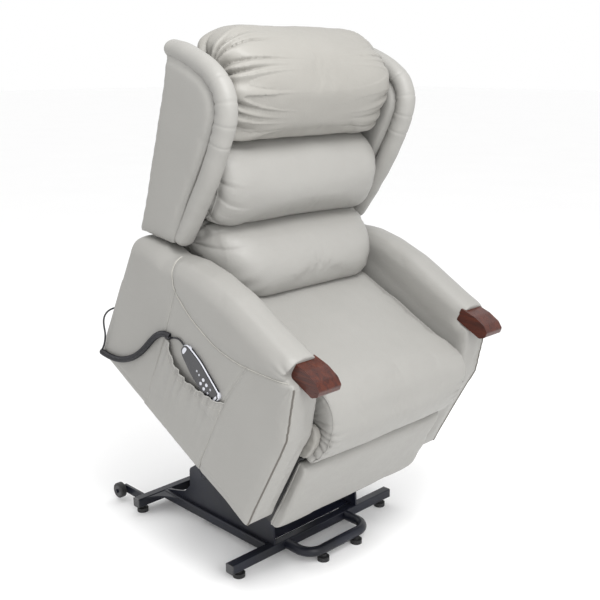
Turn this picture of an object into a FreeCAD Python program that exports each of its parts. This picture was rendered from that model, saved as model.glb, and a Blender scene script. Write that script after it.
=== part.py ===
import FreeCAD, Part
import math
import os
import re

import Sketcher

# Lift recliner chair, modelled in its raised position.
#
# Row frame: millimetres, +Z up, the chair faces -Y, X across. The origin is on the floor at the
# middle of the chair's plan.
# Base frame: Y is counted from the front cross tube's centreline, Z from the floor.
# Seat frame: the whole chair above the lift linkage, tilted forward. Y is counted backwards and Z
# upwards from the side panels' lower front corner.

DIMENSIONS = [
    ("plan_shift", -132.0, "front cross tube to the origin, along Y"),
    ("seat_tilt", 27.3, "forward tilt of the raised seat, degrees"),
    ("seat_y", -135.0, "side panel's lower front corner in the base frame"),
    ("seat_z", 230.0, "side panel's lower front corner above the floor"),
    # base
    ("tube_size", 28.0, "side of the square base tubes"),
    ("tube_wall", 2.0, "wall of the square tubes"),
    ("tube_low", 20.0, "underside of the base tubes above the floor"),
    ("front_half", 320.0, "half length of the front cross tube"),
    ("rear_half", 275.0, "half length of the rear cross tube"),
    ("rear_edge", 505.0, "rear face of the rear cross tube"),
    ("rail_out", 183.0, "outer face of the side rails"),
    ("rail_wide", 30.0, "width of the side rails"),
    ("loop_radius", 14.0, "radius of the round tube of the front loop"),
    ("loop_half", 120.0, "half spacing of the loop's legs"),
    ("loop_reach", 102.0, "loop's centreline ahead of the front tube's"),
    ("loop_bend", 45.0, "bend radius of the loop"),
    ("foot_radius", 17.0, "radius of the feet"),
    ("cap_thick", 4.0, "thickness of the tube end caps"),
    ("tower_in", 165.0, "inner face of the towers"),
    ("plate_thick", 6.0, "thickness of the towers and the seat's side plates"),
    ("cover_half", 150.0, "half width of the cover plate"),
    ("cover_thick", 3.0, "thickness of the cover plate"),
    ("wheel_y", 600.0, "transport wheels' axle behind the front tube"),
    ("wheel_z", 34.0, "transport wheels' axle above the floor"),
    ("wheel_radius", 24.0, "radius of the transport wheels"),
    ("wheel_wide", 20.0, "width of the transport wheels"),
    ("axle_radius", 6.0, "radius of the wheels' axle"),
    ("running_gap", 0.05, "radial clearance of the pivots"),
    # lift linkage
    ("arm_base_y", 296.0, "lift arm's pivot on the base"),
    ("arm_base_z", 161.0, "lift arm's pivot on the base"),
    ("arm_seat_y", 191.5, "lift arm's pivot on the seat frame"),
    ("arm_seat_z", 36.9, "lift arm's pivot on the seat frame"),
    ("link_base_y", 21.0, "short link's pivot on the base"),
    ("link_base_z", 232.8, "short link's pivot on the base"),
    ("link_seat_y", 84.3, "short link's pivot on the seat frame"),
    ("link_seat_z", 95.3, "short link's pivot on the seat frame"),
    ("motor_base_y", 300.3, "lift actuator's pivot on the base"),
    ("motor_base_z", 75.5, "lift actuator's pivot on the base"),
    ("motor_seat_y", 217.2, "lift actuator's pivot on the seat frame"),
    ("motor_seat_z", 77.9, "lift actuator's pivot on the seat frame"),
    ("lift_arm_in", 174.0, "inner face of the lift arms"),
    ("short_link_in", 154.0, "inner face of the short links"),
    ("link_thick", 8.0, "thickness of the lift arms and short links"),
    ("pivot_radius", 8.0, "radius of the lift pivots"),
    ("shaft_radius", 10.0, "radius of the lift shaft"),
    ("pin_radius", 5.0, "radius of the rod eyes' pins"),
    # seat frame
    ("side_plate_in", 185.0, "inner face of the seat's side plates"),
    ("cross_tube", 30.0, "side of the seat's cross tubes"),
    ("front_tube_y", 205.0, "front face of the seat's front cross tube"),
    ("front_tube_z", 190.0, "underside of the seat's front cross tube"),
    ("rear_tube_y", 605.0, "front face of the seat's rear cross tube"),
    ("rear_tube_z", 35.0, "underside of the seat's rear cross tube"),
    ("deck_z", 240.0, "underside of the seat deck"),
    ("deck_tube", 14.0, "side of the deck's tubes"),
    ("deck_half", 262.0, "half width of the seat deck"),
    ("deck_front", 44.0, "front of the seat deck"),
    ("deck_rear", 526.0, "rear of the seat deck"),
    ("actuator_x", 100.0, "offset of the recline and leg-rest actuators"),
    # leg rest
    ("leg_shaft_y", 62.0, "leg rest's shaft"),
    ("leg_shaft_z", 200.0, "leg rest's shaft"),
    ("leg_shaft_radius", 11.0, "radius of the leg rest's shaft"),
    ("leg_arm_cross", 155.0, "leg arm from the shaft to the carrier's pivot"),
    ("leg_arm_tail", 217.0, "leg arm from the shaft to the front link's pivot"),
    ("leg_thick", 5.0, "thickness of the leg rest's links"),
    ("leg_link_in", 195.0, "inner face of the front links"),
    ("leg_arm_in", 203.0, "inner face of the leg arms and board brackets"),
    ("leg_carrier_in", 211.0, "inner face of the carriers"),
    ("leg_pin", 6.0, "radius of the leg rest's pivots"),
    ("crank_radius", 70.0, "leg shaft to the pin of the rod, stowed"),
    ("board_half", 274.0, "half width of the leg rest"),
    ("board_low", -52.0, "lower edge of the stowed leg rest"),
    ("board_high", 184.0, "upper edge of the stowed leg rest"),
    ("board_front", -20.0, "front face of the stowed leg rest"),
    ("board_joint", 12.0, "where the pad meets the board"),
    ("board_back", 30.0, "back of the stowed leg rest's board"),
    # upholstery
    ("seat_half", 262.0, "half width of the seat cushion"),
    ("arm_in", 286.0, "inner face of the arms"),
    ("arm_panel", 380.0, "outer face of the arms' lower panels"),
    ("arm_out", 386.0, "outer face of the arms' upper rolls"),
    ("arm_board_in", 306.0, "inner face of the arm's inside board"),
    ("arm_board_thick", 18.0, "thickness of the arm's inside board"),
    ("knuckle_in", 287.0, "inner face of the wooden knuckles"),
    ("knuckle_wide", 72.0, "width of the wooden knuckles"),
    ("pocket_out", 398.5, "outer face of the pocket"),
    ("pocket_skin", 1.5, "thickness of the pocket"),
    # backrest
    ("back_pivot_y", 580.0, "recline pivot"),
    ("back_pivot_z", 280.0, "recline pivot"),
    ("back_half", 262.0, "half width of the backrest's frame"),
    ("lug_radius", 110.0, "recline pivot to the pin of the rod"),
    ("lug_lead", 21.0, "half of the recline range, degrees"),
    ("wing_in", 302.0, "inner face of the wings"),
    ("wing_wide", 52.0, "thickness of the wings"),
    ("lumbar_half", 262.0, "half width of the lumbar pillow"),
    ("middle_half", 286.0, "half width of the middle pillow"),
    ("head_half", 272.0, "half width of the head pillow"),
    # handset and cord
    ("handset_x", 380.3, "back of the handset, from the middle"),
    ("handset_thick", 16.0, "thickness of the handset"),
    ("handset_long", 166.0, "length of the handset"),
    ("handset_wide", 48.0, "width of the handset"),
    ("button_radius", 4.5, "radius of the handset's buttons"),
    ("lead_radius", 2.5, "radius of the handset's lead"),
    ("coil_radius", 8.5, "outer radius of the curly stretch of the cord"),
]

doc = FreeCAD.newDocument("lift_recliner_chair")
sheet = doc.addObject("Spreadsheet::Sheet", "dims")
for row, (alias, value, note) in enumerate(DIMENSIONS, start=1):
    sheet.set(f"A{row}", note)
    sheet.set(f"B{row}", str(value))
    sheet.setAlias(f"B{row}", alias)
doc.recompute()

parts = []


def size(alias):
    return float(sheet.get(alias))


def on_sheet(value):
    """Point every word of a formula at the sheet's alias of that name."""
    return re.sub(r"[a-z][a-z_]*", lambda word: "dims." + word.group(), str(value))


def number(value):
    return float(sheet.evalExpression(on_sheet(value)))


# ---------------------------------------------------------------- frames

def base_frame():
    return FreeCAD.Placement(FreeCAD.Vector(0, size("plan_shift"), 0), FreeCAD.Rotation())


def seat_frame():
    place = FreeCAD.Vector(0, size("seat_y") + size("plan_shift"), size("seat_z"))
    return FreeCAD.Placement(place, FreeCAD.Rotation(FreeCAD.Vector(1, 0, 0), size("seat_tilt")))


BASE = base_frame()
SEAT = seat_frame()


def in_seat(y, z):
    """A point of the seat frame, seen in the base frame."""
    point = BASE.inverse().multVec(SEAT.multVec(FreeCAD.Vector(0, y, z)))
    return point.y, point.z


def aimed(frame, x, start, end):
    """A placement whose Z axis runs from start to end, both (y, z) in the given frame."""
    angle = math.degrees(math.atan2(-(end[0] - start[0]), end[1] - start[1]))
    turn = FreeCAD.Rotation(FreeCAD.Vector(1, 0, 0), angle)
    return frame.multiply(FreeCAD.Placement(FreeCAD.Vector(x, *start), turn))


# ---------------------------------------------------------------- shape helpers

def bind(obj, name, value):
    obj.setExpression(name, on_sheet(value))


def keep(obj, name, frame):
    """Register a finished sub-part: its label names its file."""
    obj.Label = name
    obj.Placement = frame
    parts.append(obj)
    return obj


def group(name, members, frame):
    compound = doc.addObject("Part::Compound", name + "_group")
    compound.Links = members
    doc.recompute()
    return keep(compound, name, frame)


def block(name, low, span):
    box = doc.addObject("Part::Box", name)
    for side, value in zip(("Length", "Width", "Height"), span):
        bind(box, side, value)
    for axis, value in zip("xyz", low):
        bind(box, "Placement.Base." + axis, value)
    return box


TURNS = {
    "X": FreeCAD.Rotation(FreeCAD.Vector(0, 1, 0), 90),
    "Y": FreeCAD.Rotation(FreeCAD.Vector(1, 0, 0), -90),
    "Z": FreeCAD.Rotation(),
}


def rod(name, axis, start, radius, length):
    """A round bar that runs along X, Y or Z from its start point."""
    bar = doc.addObject("Part::Cylinder", name)
    bind(bar, "Radius", radius)
    bind(bar, "Height", length)
    bar.Placement = FreeCAD.Placement(FreeCAD.Vector(), TURNS[axis])
    for letter, value in zip("xyz", start):
        bind(bar, "Placement.Base." + letter, value)
    return bar


def fuse(name, members):
    joined = doc.addObject("Part::MultiFuse", name)
    joined.Shapes = members
    joined.Refine = True
    doc.recompute()
    return joined


def cut(name, base, tool):
    cutter = doc.addObject("Part::Cut", name)
    cutter.Base = base
    cutter.Tool = tool
    doc.recompute()
    return cutter


def mirrored(name, source):
    twin = doc.addObject("Part::Mirroring", name)
    twin.Source = source
    twin.Normal = FreeCAD.Vector(1, 0, 0)
    doc.recompute()
    return twin


def pair(name, source, frame):
    """The same piece on both sides of the chair, in one node."""
    return group(name, [source, mirrored(name + "_twin", source)], frame)


def softened(name, source, radius, chooses):
    """Round the edges of a solid that the given test accepts."""
    doc.recompute()
    chosen = [i for i, edge in enumerate(source.Shape.Edges, start=1) if chooses(edge)]
    rounding = doc.addObject("Part::Fillet", name)
    rounding.Base = source
    rounding.Edges = [(i, number(radius), number(radius)) for i in chosen]
    doc.recompute()
    return rounding


def runs_along(axis):
    def test(edge):
        way = edge.Vertexes[-1].Point - edge.Vertexes[0].Point
        return way.Length > 0 and abs(abs(getattr(way, axis)) - way.Length) < 1e-6
    return test


def square_tube(name, axis, low, span):
    """A hollow square tube with rounded corners, along X or Y."""
    outer = softened(name + "_outer", block(name + "_solid", low, span), "4", runs_along(axis))
    sides = []
    inner_low = []
    for letter, start, length in zip("xyz", low, span):
        wall = 0 if letter == axis else 1
        inner_low.append(f"{start} + {wall} * tube_wall - {1 - wall}")
        sides.append(f"{length} - {2 * wall} * tube_wall + {2 * (1 - wall)}")
    return cut(name, outer, block(name + "_bore", inner_low, sides))


def origin_plane(body, role):
    return next(item for item in body.Origin.OriginFeatures if item.Role == role)


def outline(body, points, offset, plane):
    """A closed outline of straight edges, each corner held by two bound distances."""
    sketch = body.newObject("Sketcher::SketchObject", body.Name + "_outline")
    sketch.AttachmentSupport = [(origin_plane(body, plane), "")]
    sketch.MapMode = "FlatFace"
    bind(sketch, "AttachmentOffset.Base.z", offset)
    corners = [FreeCAD.Vector(number(a), number(b), 0) for a, b in points]
    count = len(corners)
    for i in range(count):
        sketch.addGeometry(Part.LineSegment(corners[i], corners[(i + 1) % count]))
    for i in range(count):
        sketch.addConstraint(Sketcher.Constraint("Coincident", i, 2, (i + 1) % count, 1))
    for i, (across, up) in enumerate(points):
        for kind, value, place in (("DistanceX", across, corners[i].x), ("DistanceY", up, corners[i].y)):
            held = sketch.addConstraint(Sketcher.Constraint(kind, -1, 1, i, 1, place))
            sketch.setExpression(f"Constraints[{held}]", on_sheet(value))
    return sketch


def round_corners(body, corners, radius, plane):
    """Fillet the padded edges that stand on the given corners of the outline."""
    across, up, along = {"YZ_Plane": ("y", "z", "x"), "XY_Plane": ("x", "y", "z")}[plane]
    tip = body.Tip
    chosen = []
    for i, edge in enumerate(tip.Shape.Edges, start=1):
        foot = edge.Vertexes[0].Point
        for a, b in corners:
            aside = abs(getattr(foot, across) - number(a))
            above = abs(getattr(foot, up) - number(b))
            near = max(aside, above) < 0.01
            if near and runs_along(along)(edge):
                chosen.append(f"Edge{i}")
    fillet = body.newObject("PartDesign::Fillet", body.Name + "_round")
    fillet.Base = (tip, chosen)
    bind(fillet, "Radius", radius)
    doc.recompute()


def plate(name, points, start, thickness, rounds=(), plane="YZ_Plane"):
    """A body padded from an outline; rounds lists (radius, corners) to fillet."""
    body = doc.addObject("PartDesign::Body", name)
    sketch = outline(body, points, start, plane)
    pad = body.newObject("PartDesign::Pad", name + "_pad")
    pad.Profile = sketch
    bind(pad, "Length", thickness)
    doc.recompute()
    for radius, corners in rounds:
        round_corners(body, corners, radius, plane)
    return body


def slab(name, points, half, rounds=()):
    """A body of the given outline, as wide on both sides of the middle."""
    return plate(name, points, f"-({half})", f"2 * ({half})", rounds)


def bar_link(name, ends, start, thickness, half_width, bore, bosses=()):
    """A flat link with round ends and a bore at each pivot; ends and bosses are (y, z)."""
    pieces = []
    pivots = list(ends) + list(bosses)
    for i, (y, z) in enumerate(pivots):
        pieces.append(rod(f"{name}_end{i}", "X", (start, y, z), half_width, thickness))
    for i in range(len(pivots) - 1):
        (ya, za), (yb, zb) = pivots[i], pivots[i + 1]
        span = math.hypot(yb - ya, zb - za)
        strap = block(f"{name}_strap{i}", ("0", "0", "0"), (thickness, f"2 * ({half_width})", span))
        strap_place = aimed(FreeCAD.Placement(), number(start), (ya, za), (yb, zb))
        shift = FreeCAD.Placement(FreeCAD.Vector(0, -number(half_width), 0), FreeCAD.Rotation())
        for axis in "xyz":
            strap.setExpression("Placement.Base." + axis, None)
        strap.Placement = strap_place.multiply(shift)
        pieces.append(strap)
    blank = fuse(name + "_blank", pieces)
    holes = []
    for i, (y, z) in enumerate(pivots):
        deep = (f"{start} - 1", y, z)
        holes.append(rod(f"{name}_hole{i}", "X", deep, bore, f"{thickness} + 2"))
    drills = doc.addObject("Part::Compound", name + "_drills")
    drills.Links = holes
    return cut(name, blank, drills)


def eye(name, x_half, radius, bore):
    """A round eye about the X axis at the origin."""
    ring = rod(name + "_ring", "X", (f"-({x_half})", 0, 0), radius, f"2 * ({x_half})")
    hole = rod(name + "_bore", "X", (f"-({x_half}) - 1", 0, 0), bore, f"2 * ({x_half}) + 2")
    return ring, hole


# ---------------------------------------------------------------- base

def base_tubes():
    span = ("2 * front_half", "tube_size", "tube_size")
    front = square_tube("front_square", "x", ("-front_half", "-tube_size / 2", "tube_low"), span)
    keep(front, "base_front_tube", BASE)

    low = ("rail_out - rail_wide", "tube_size / 2", "tube_low")
    span = ("rail_wide", "rear_edge - tube_size * 1.5", "tube_size")
    pair("base_side_rails", square_tube("rail", "y", low, span), BASE)

    low = ("-rear_half", "rear_edge - tube_size", "tube_low")
    span = ("2 * rear_half", "tube_size", "tube_size")
    tube = square_tube("rear_square", "x", low, span)
    arms = []
    for side, x, end in (("left", "rear_half - 38", "rear_half - 38"),
                         ("right", "-rear_half + 30", "-rear_half - 5")):
        low = (x, "rear_edge", "wheel_z - 12")
        arm = block(f"wheel_arm_{side}", low, ("8", "wheel_y - rear_edge", "24"))
        boss = rod(f"wheel_boss_{side}", "X", (x, "wheel_y", "wheel_z"), "12", "8")
        axle = rod(f"wheel_axle_{side}", "X", (end, "wheel_y", "wheel_z"), "axle_radius", "43")
        arms += [arm, boss, axle]
    keep(fuse("rear_carrier", [tube] + arms), "base_rear_tube", BASE)

    low = ("-rail_out + rail_wide", "motor_base_y - tube_size / 2", "tube_low")
    span = ("2 * (rail_out - rail_wide)", "tube_size", "tube_size")
    tube = block("middle_square", low, span)
    lugs = []
    for side, x in (("left", "13"), ("right", "-19")):
        base = block(f"motor_lug_{side}", (x, "motor_base_y - 14", "tube_low + tube_size - 1"),
                     ("6", "28", "motor_base_z - tube_low - tube_size + 1"))
        head = rod(f"motor_lug_head_{side}", "X", (x, "motor_base_y", "motor_base_z"), "14", "6")
        lugs += [base, head]
    hole = rod("motor_lug_bore", "X", ("-30", "motor_base_y", "motor_base_z"), "axle_radius", "60")
    keep(cut("middle_drilled", fuse("middle_welded", [tube] + lugs), hole), "base_middle_tube", BASE)


def front_loop():
    """The round tube loop ahead of the front cross tube: two legs, two bends, one crossbar."""
    body = doc.addObject("PartDesign::Body", "loop")
    path = body.newObject("Sketcher::SketchObject", "loop_path")
    path.AttachmentSupport = [(origin_plane(body, "XY_Plane"), "")]
    path.MapMode = "FlatFace"
    bind(path, "AttachmentOffset.Base.z", "tube_low + loop_radius")
    half = size("loop_half")
    reach = size("loop_reach")
    bend = size("loop_bend")
    start = -size("tube_size") / 2
    near = FreeCAD.Vector(half, start, 0)
    far = FreeCAD.Vector(-half, start, 0)
    centre = FreeCAD.Vector(half - bend, bend - reach, 0)
    other = FreeCAD.Vector(bend - half, bend - reach, 0)
    up = FreeCAD.Vector(0, 0, 1)
    path.addGeometry(Part.LineSegment(near, FreeCAD.Vector(half, bend - reach, 0)))
    path.addGeometry(Part.ArcOfCircle(Part.Circle(centre, up, bend), -math.pi / 2, 0))
    bar_ends = (FreeCAD.Vector(half - bend, -reach, 0), FreeCAD.Vector(bend - half, -reach, 0))
    path.addGeometry(Part.LineSegment(*bar_ends))
    path.addGeometry(Part.ArcOfCircle(Part.Circle(other, up, bend), math.pi, 1.5 * math.pi))
    path.addGeometry(Part.LineSegment(FreeCAD.Vector(-half, bend - reach, 0), far))
    joints = [(0, 2, 1, 2), (1, 1, 2, 1), (2, 2, 3, 2), (3, 1, 4, 1)]
    for first, first_end, second, second_end in joints:
        path.addConstraint(Sketcher.Constraint("Tangent", first, first_end, second, second_end))
    held = [
        ("DistanceX", 0, 1, half, "loop_half"),
        ("DistanceY", 0, 1, start, "-tube_size / 2"),
        ("DistanceX", 4, 2, -half, "-loop_half"),
        ("DistanceY", 4, 2, start, "-tube_size / 2"),
        ("DistanceY", 2, 1, -reach, "-loop_reach"),
    ]
    for kind, line, end, value, formula in held:
        index = path.addConstraint(Sketcher.Constraint(kind, -1, 1, line, end, value))
        path.setExpression(f"Constraints[{index}]", on_sheet(formula))
    path.addConstraint(Sketcher.Constraint("Vertical", 0))
    path.addConstraint(Sketcher.Constraint("Vertical", 4))
    for arc in (1, 3):
        index = path.addConstraint(Sketcher.Constraint("Radius", arc, bend))
        path.setExpression(f"Constraints[{index}]", on_sheet("loop_bend"))
    profile = body.newObject("Sketcher::SketchObject", "loop_profile")
    profile.AttachmentSupport = [(origin_plane(body, "XZ_Plane"), "")]
    profile.MapMode = "FlatFace"
    bind(profile, "AttachmentOffset.Base.z", "tube_size / 2")
    height = size("tube_low") + size("loop_radius")
    profile.addGeometry(Part.Circle(FreeCAD.Vector(half, height, 0), up, size("loop_radius")))
    held = [
        (Sketcher.Constraint("DistanceX", -1, 1, 0, 3, half), "loop_half"),
        (Sketcher.Constraint("DistanceY", -1, 1, 0, 3, height), "tube_low + loop_radius"),
        (Sketcher.Constraint("Radius", 0, size("loop_radius")), "loop_radius"),
    ]
    for constraint, formula in held:
        index = profile.addConstraint(constraint)
        profile.setExpression(f"Constraints[{index}]", on_sheet(formula))
    doc.recompute()
    pipe = body.newObject("PartDesign::AdditivePipe", "loop_pipe")
    pipe.Profile = profile
    pipe.Spine = (path, [])
    doc.recompute()
    keep(body, "front_loop", BASE)


def base_small_parts():
    caps = []
    for end, half, y in (("front", "front_half", "-tube_size / 2"),
                         ("rear", "rear_half", "rear_edge - tube_size")):
        low = (half, y, "tube_low")
        raw = block(f"cap_{end}", low, ("cap_thick", "tube_size", "tube_size"))
        cap = softened(f"cap_{end}_round", raw, "3.5", runs_along("x"))
        caps += [cap, mirrored(f"cap_{end}_twin", cap)]
    group("tube_end_caps", caps, BASE)

    feet = []
    spots = [("front", "290", "0"), ("loop", "68", "-loop_reach"),
             ("rear", "255", "rear_edge - tube_size / 2")]
    for name, x, y in spots:
        disc = rod(f"foot_{name}", "Z", (x, y, "0"), "foot_radius", "12")
        stem = rod(f"stem_{name}", "Z", (x, y, "11"), "9", "tube_low - 11")
        foot = fuse(f"foot_{name}_whole", [disc, stem])
        feet += [foot, mirrored(f"foot_{name}_twin", foot)]
    group("levelling_feet", feet, BASE)

    arc_steps = 6
    reach_x, reach_y = 74.0, 96.0
    points = [("rail_out", "rear_edge - tube_size")]
    for step in range(arc_steps + 1):
        turn = math.pi / 2 * step / arc_steps
        across = round(reach_x * (1 - math.sin(turn)), 3)
        back = round(reach_y * (1 - math.cos(turn)), 3)
        points.append((f"rail_out + {across}", f"rear_edge - tube_size - {back}"))
    gusset = plate("gusset", points, "tube_low + tube_size - 7", "5", plane="XY_Plane")
    pair("rear_gussets", gusset, BASE)

    top = "tube_low + tube_size"
    points = [
        ("tube_size / 2", top),
        ("tube_size / 2 + 12", f"{top} + 4"),
        ("122", "88"),
        ("122", "88 + cover_thick"),
        ("tube_size / 2 + 11", f"{top} + 4 + cover_thick"),
        ("tube_size / 2", f"{top} + cover_thick"),
    ]
    keep(slab("cover", points, "cover_half"), "cover_plate", BASE)

    box = block("control_raw", ("-75", "rear_edge - tube_size - 66", "30"), ("150", "66", "44"))
    keep(softened("control_soft", box, "5", runs_along("z")), "control_box", BASE)
    body = block("inlet_body", ("-93", "rear_edge - tube_size - 48", "40"), ("18", "30", "24"))
    well = block("inlet_well", ("-94", "rear_edge - tube_size - 44", "44"), ("13", "22", "16"))
    keep(cut("inlet", body, well), "mains_inlet", BASE)


def towers():
    points = [
        ("-12", "tube_low + tube_size"),
        ("link_base_y - 19", "link_base_z - 4"),
        ("link_base_y - 10", "link_base_z + 17"),
        ("link_base_y + 16", "link_base_z + 16"),
        ("arm_base_y + 20", "arm_base_z + 26"),
        ("arm_base_y + 64", "arm_base_z - 4"),
        ("arm_base_y + 64", "100"),
        ("arm_base_y + 92", "72"),
        ("rear_edge - tube_size", "tube_low + tube_size"),
    ]
    rounds = [
        ("14", [points[1], points[2], points[3]]),
        ("20", [points[4], points[5], points[7]]),
    ]
    blank = plate("tower_blank", points, "tower_in", "plate_thick", rounds)
    holes = doc.addObject("Part::Compound", "tower_holes")
    holes.Links = [
        rod("tower_hole_arm", "X", ("tower_in - 1", "arm_base_y", "arm_base_z"),
            "shaft_radius + running_gap", "plate_thick + 2"),
        rod("tower_hole_link", "X", ("tower_in - 1", "link_base_y", "link_base_z"),
            "pivot_radius", "plate_thick + 2"),
    ]
    left = cut("tower_drilled", blank, holes)
    group("tower_left", [left], BASE)
    group("tower_right", [mirrored("tower_twin", left)], BASE)

    long_pin = rod("motor_pin", "X", ("-22", "motor_base_y", "motor_base_z"), "axle_radius", "44")
    pin = rod("link_pin", "X", ("short_link_in - 2", "link_base_y", "link_base_z"), "pivot_radius",
              "tower_in + plate_thick - short_link_in + 2")
    group("base_pins", [pin, mirrored("link_pin_twin", pin), long_pin], BASE)


def transport_wheel(side, x):
    tyre = rod(f"tyre_{side}", "X", (x, "wheel_y", "wheel_z"), "wheel_radius", "wheel_wide")
    soft = softened(f"tyre_soft_{side}", tyre, "4", lambda edge: len(edge.Vertexes) == 1)
    hole = rod(f"wheel_hole_{side}", "X", (f"{x} - 1", "wheel_y", "wheel_z"),
               "axle_radius + running_gap", "wheel_wide + 2")
    keep(cut(f"wheel_{side}", soft, hole), f"transport_wheel_{side}", BASE)


# ---------------------------------------------------------------- lift linkage

def lift_linkage():
    pivot = (size("arm_base_y"), size("arm_base_z"))
    seat_pivot = in_seat(size("arm_seat_y"), size("arm_seat_z"))
    arm = bar_link("lift_bar", [pivot, seat_pivot], "lift_arm_in", "link_thick", "17",
                   "pivot_radius + running_gap")
    shaft = rod("lift_round", "X", ("-lift_arm_in - link_thick - 1", "arm_base_y", "arm_base_z"),
                "shaft_radius", "2 * (lift_arm_in + link_thick + 1)")
    welded = fuse("lift_welded", [arm, mirrored("lift_bar_twin", arm), shaft])
    keep(welded, "lift_arms", BASE)

    low = (size("link_base_y"), size("link_base_z"))
    high = in_seat(size("link_seat_y"), size("link_seat_z"))
    link = bar_link("short_bar", [low, high], "short_link_in", "link_thick", "15",
                    "pivot_radius + running_gap")
    # The seat end is the linkage's open pivot, so its bore is oversize.
    loose = rod("loose_bore", "X", ("short_link_in - 1", high[0], high[1]), "pivot_radius + 1.6",
                "link_thick + 2")
    pair("short_links", cut("short_bar_loose", link, loose), BASE)


def actuator(name, motor_side, tube_end, rod_start, tip, shank_radius, eye_half, eye_radius, eye_bore):
    """A linear actuator along Z from its pivot: gearbox, motor, outer tube and a rod with an eye."""
    clevis = block(f"{name}_clevis", ("-12", "-13", "-13"), ("24", "26", "40"))
    gearbox = softened(f"{name}_gearbox", block(f"{name}_gear_raw", ("-22", "-24", "26"),
                       ("44", "48", "60")), "6", runs_along("z"))
    bridge = block(f"{name}_bridge", (f"{motor_side} * 33 - 12", "-16", "30"), ("24", "32", "50"))
    motor = rod(f"{name}_can", "Z", (f"{motor_side} * 44", "0", "28"), "18", "112")
    hole = rod(f"{name}_pivot_bore", "X", ("-20", "0", "0"), "axle_radius + running_gap", "40")
    housing = cut(f"{name}_housing", fuse(f"{name}_casting", [clevis, gearbox, bridge, motor]), hole)
    outer = rod(f"{name}_outer", "Z", ("0", "0", "86"), "16", tube_end - 86)
    inner = rod(f"{name}_inner", "Z", ("0", "0", "88"), shank_radius + 0.5, tube_end - 86)
    sleeve = cut(f"{name}_sleeve", outer, inner)
    shank = rod(f"{name}_shank", "Z", ("0", "0", rod_start), shank_radius, tip - rod_start)
    ring, bore = eye(f"{name}_eye", eye_half, eye_radius, eye_bore)
    for piece in (ring, bore):
        bind(piece, "Placement.Base.z", tip)
    shaft = cut(f"{name}_plunger", fuse(f"{name}_plunger_blank", [shank, ring]), bore)
    return housing, sleeve, shaft


def lift_actuator():
    start = (size("motor_base_y"), size("motor_base_z"))
    end = in_seat(size("motor_seat_y"), size("motor_seat_z"))
    length = math.hypot(end[0] - start[0], end[1] - start[1])
    place = aimed(BASE, 0, start, end)
    housing, sleeve, shaft = actuator("lift", 1, 288, length - 234, length, 10, "12", "20",
                                      "pin_radius + 7.5")
    keep(housing, "lift_motor", place)
    keep(sleeve, "lift_tube", place)
    keep(shaft, "lift_rod", place)


# ---------------------------------------------------------------- seat frame

def leg_points():
    """The leg rest's pivots when it is stowed, in the seat frame."""
    shaft = (size("leg_shaft_y"), size("leg_shaft_z"))
    down = (0.408, -0.913)
    cross = (shaft[0] + size("leg_arm_cross") * down[0], shaft[1] + size("leg_arm_cross") * down[1])
    tail = (shaft[0] + size("leg_arm_tail") * down[0], shaft[1] + size("leg_arm_tail") * down[1])
    rise = (-73.0, 102.0)
    back = (70.0, -52.0)
    return {
        "shaft": shaft,
        "cross": cross,
        "tail": tail,
        "top": (cross[0] + rise[0], cross[1] + rise[1]),
        "low": (tail[0] + rise[0], tail[1] + rise[1]),
        "rear": (shaft[0] + back[0], shaft[1] + back[1]),
        "end": (cross[0] + back[0], cross[1] + back[1]),
    }


LEG = leg_points()


def side_plates():
    points = [
        ("40", "deck_z"),
        ("40", "176"),
        ("58", "84"),
        ("92", "66"),
        ("arm_seat_y - 18", "arm_seat_z - 19"),
        ("arm_seat_y + 20", "arm_seat_z - 21"),
        ("300", "32"),
        ("rear_tube_y + 40", "rear_tube_z - 6"),
        ("rear_tube_y + 40", "rear_tube_z + 40"),
        ("520", "120"),
        ("340", "deck_z"),
    ]
    rounds = [("12", points[2:6]), ("8", points[7:9])]
    blank = plate("side_blank", points, "side_plate_in", "plate_thick", rounds)
    cross_tubes = [
        block("side_gap_front", ("side_plate_in - 1", "front_tube_y", "front_tube_z"),
              ("plate_thick + 2", "cross_tube", "cross_tube")),
        block("side_gap_rear", ("side_plate_in - 1", "rear_tube_y", "rear_tube_z"),
              ("plate_thick + 2", "cross_tube", "cross_tube")),
    ]
    bores = [
        ("shaft", LEG["shaft"], "leg_shaft_radius + running_gap"),
        ("rear", LEG["rear"], "leg_pin"),
        ("arm", ("arm_seat_y", "arm_seat_z"), "pivot_radius"),
        ("link", ("link_seat_y", "link_seat_z"), "pivot_radius"),
    ]
    holes = doc.addObject("Part::Compound", "side_holes")
    holes.Links = cross_tubes + [
        rod(f"side_hole_{name}", "X", ("side_plate_in - 1", y, z), radius, "plate_thick + 2")
        for name, (y, z), radius in bores
    ]
    pair("seat_side_plates", cut("side_drilled", blank, holes), SEAT)


def hanging_cheeks(name, x_middle, gap, outline_points, pins):
    """Two parallel cheeks with bores, either side of an actuator's eye; pins are (y, z, radius)."""
    cheeks = []
    for side, x in (("near", f"{x_middle} + {gap}"), ("far", f"{x_middle} - {gap} - 6")):
        cheeks.append(plate(f"{name}_{side}", outline_points, x, "6"))
    holes = doc.addObject("Part::Compound", f"{name}_bores")
    holes.Links = [
        rod(f"{name}_bore{i}", "X", (f"{x_middle} - {gap} - 8", y, z), radius, f"2 * {gap} + 16")
        for i, (y, z, radius) in enumerate(pins)
    ]
    return cheeks, holes


def recline_pin():
    """The recline rod's pin at rest: the lug's radius and half range from straight down."""
    lead = math.radians(size("lug_lead"))
    y = size("back_pivot_y") + size("lug_radius") * math.sin(lead)
    z = size("back_pivot_z") - size("lug_radius") * math.cos(lead)
    return y, z


LEG_RANGE = 86.0


def crank_pin():
    """The leg-rest rod's pin when stowed: half the range behind straight down."""
    half = math.radians(LEG_RANGE / 2)
    y = size("leg_shaft_y") + size("crank_radius") * math.sin(half)
    z = size("leg_shaft_z") - size("crank_radius") * math.cos(half)
    return y, z


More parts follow.
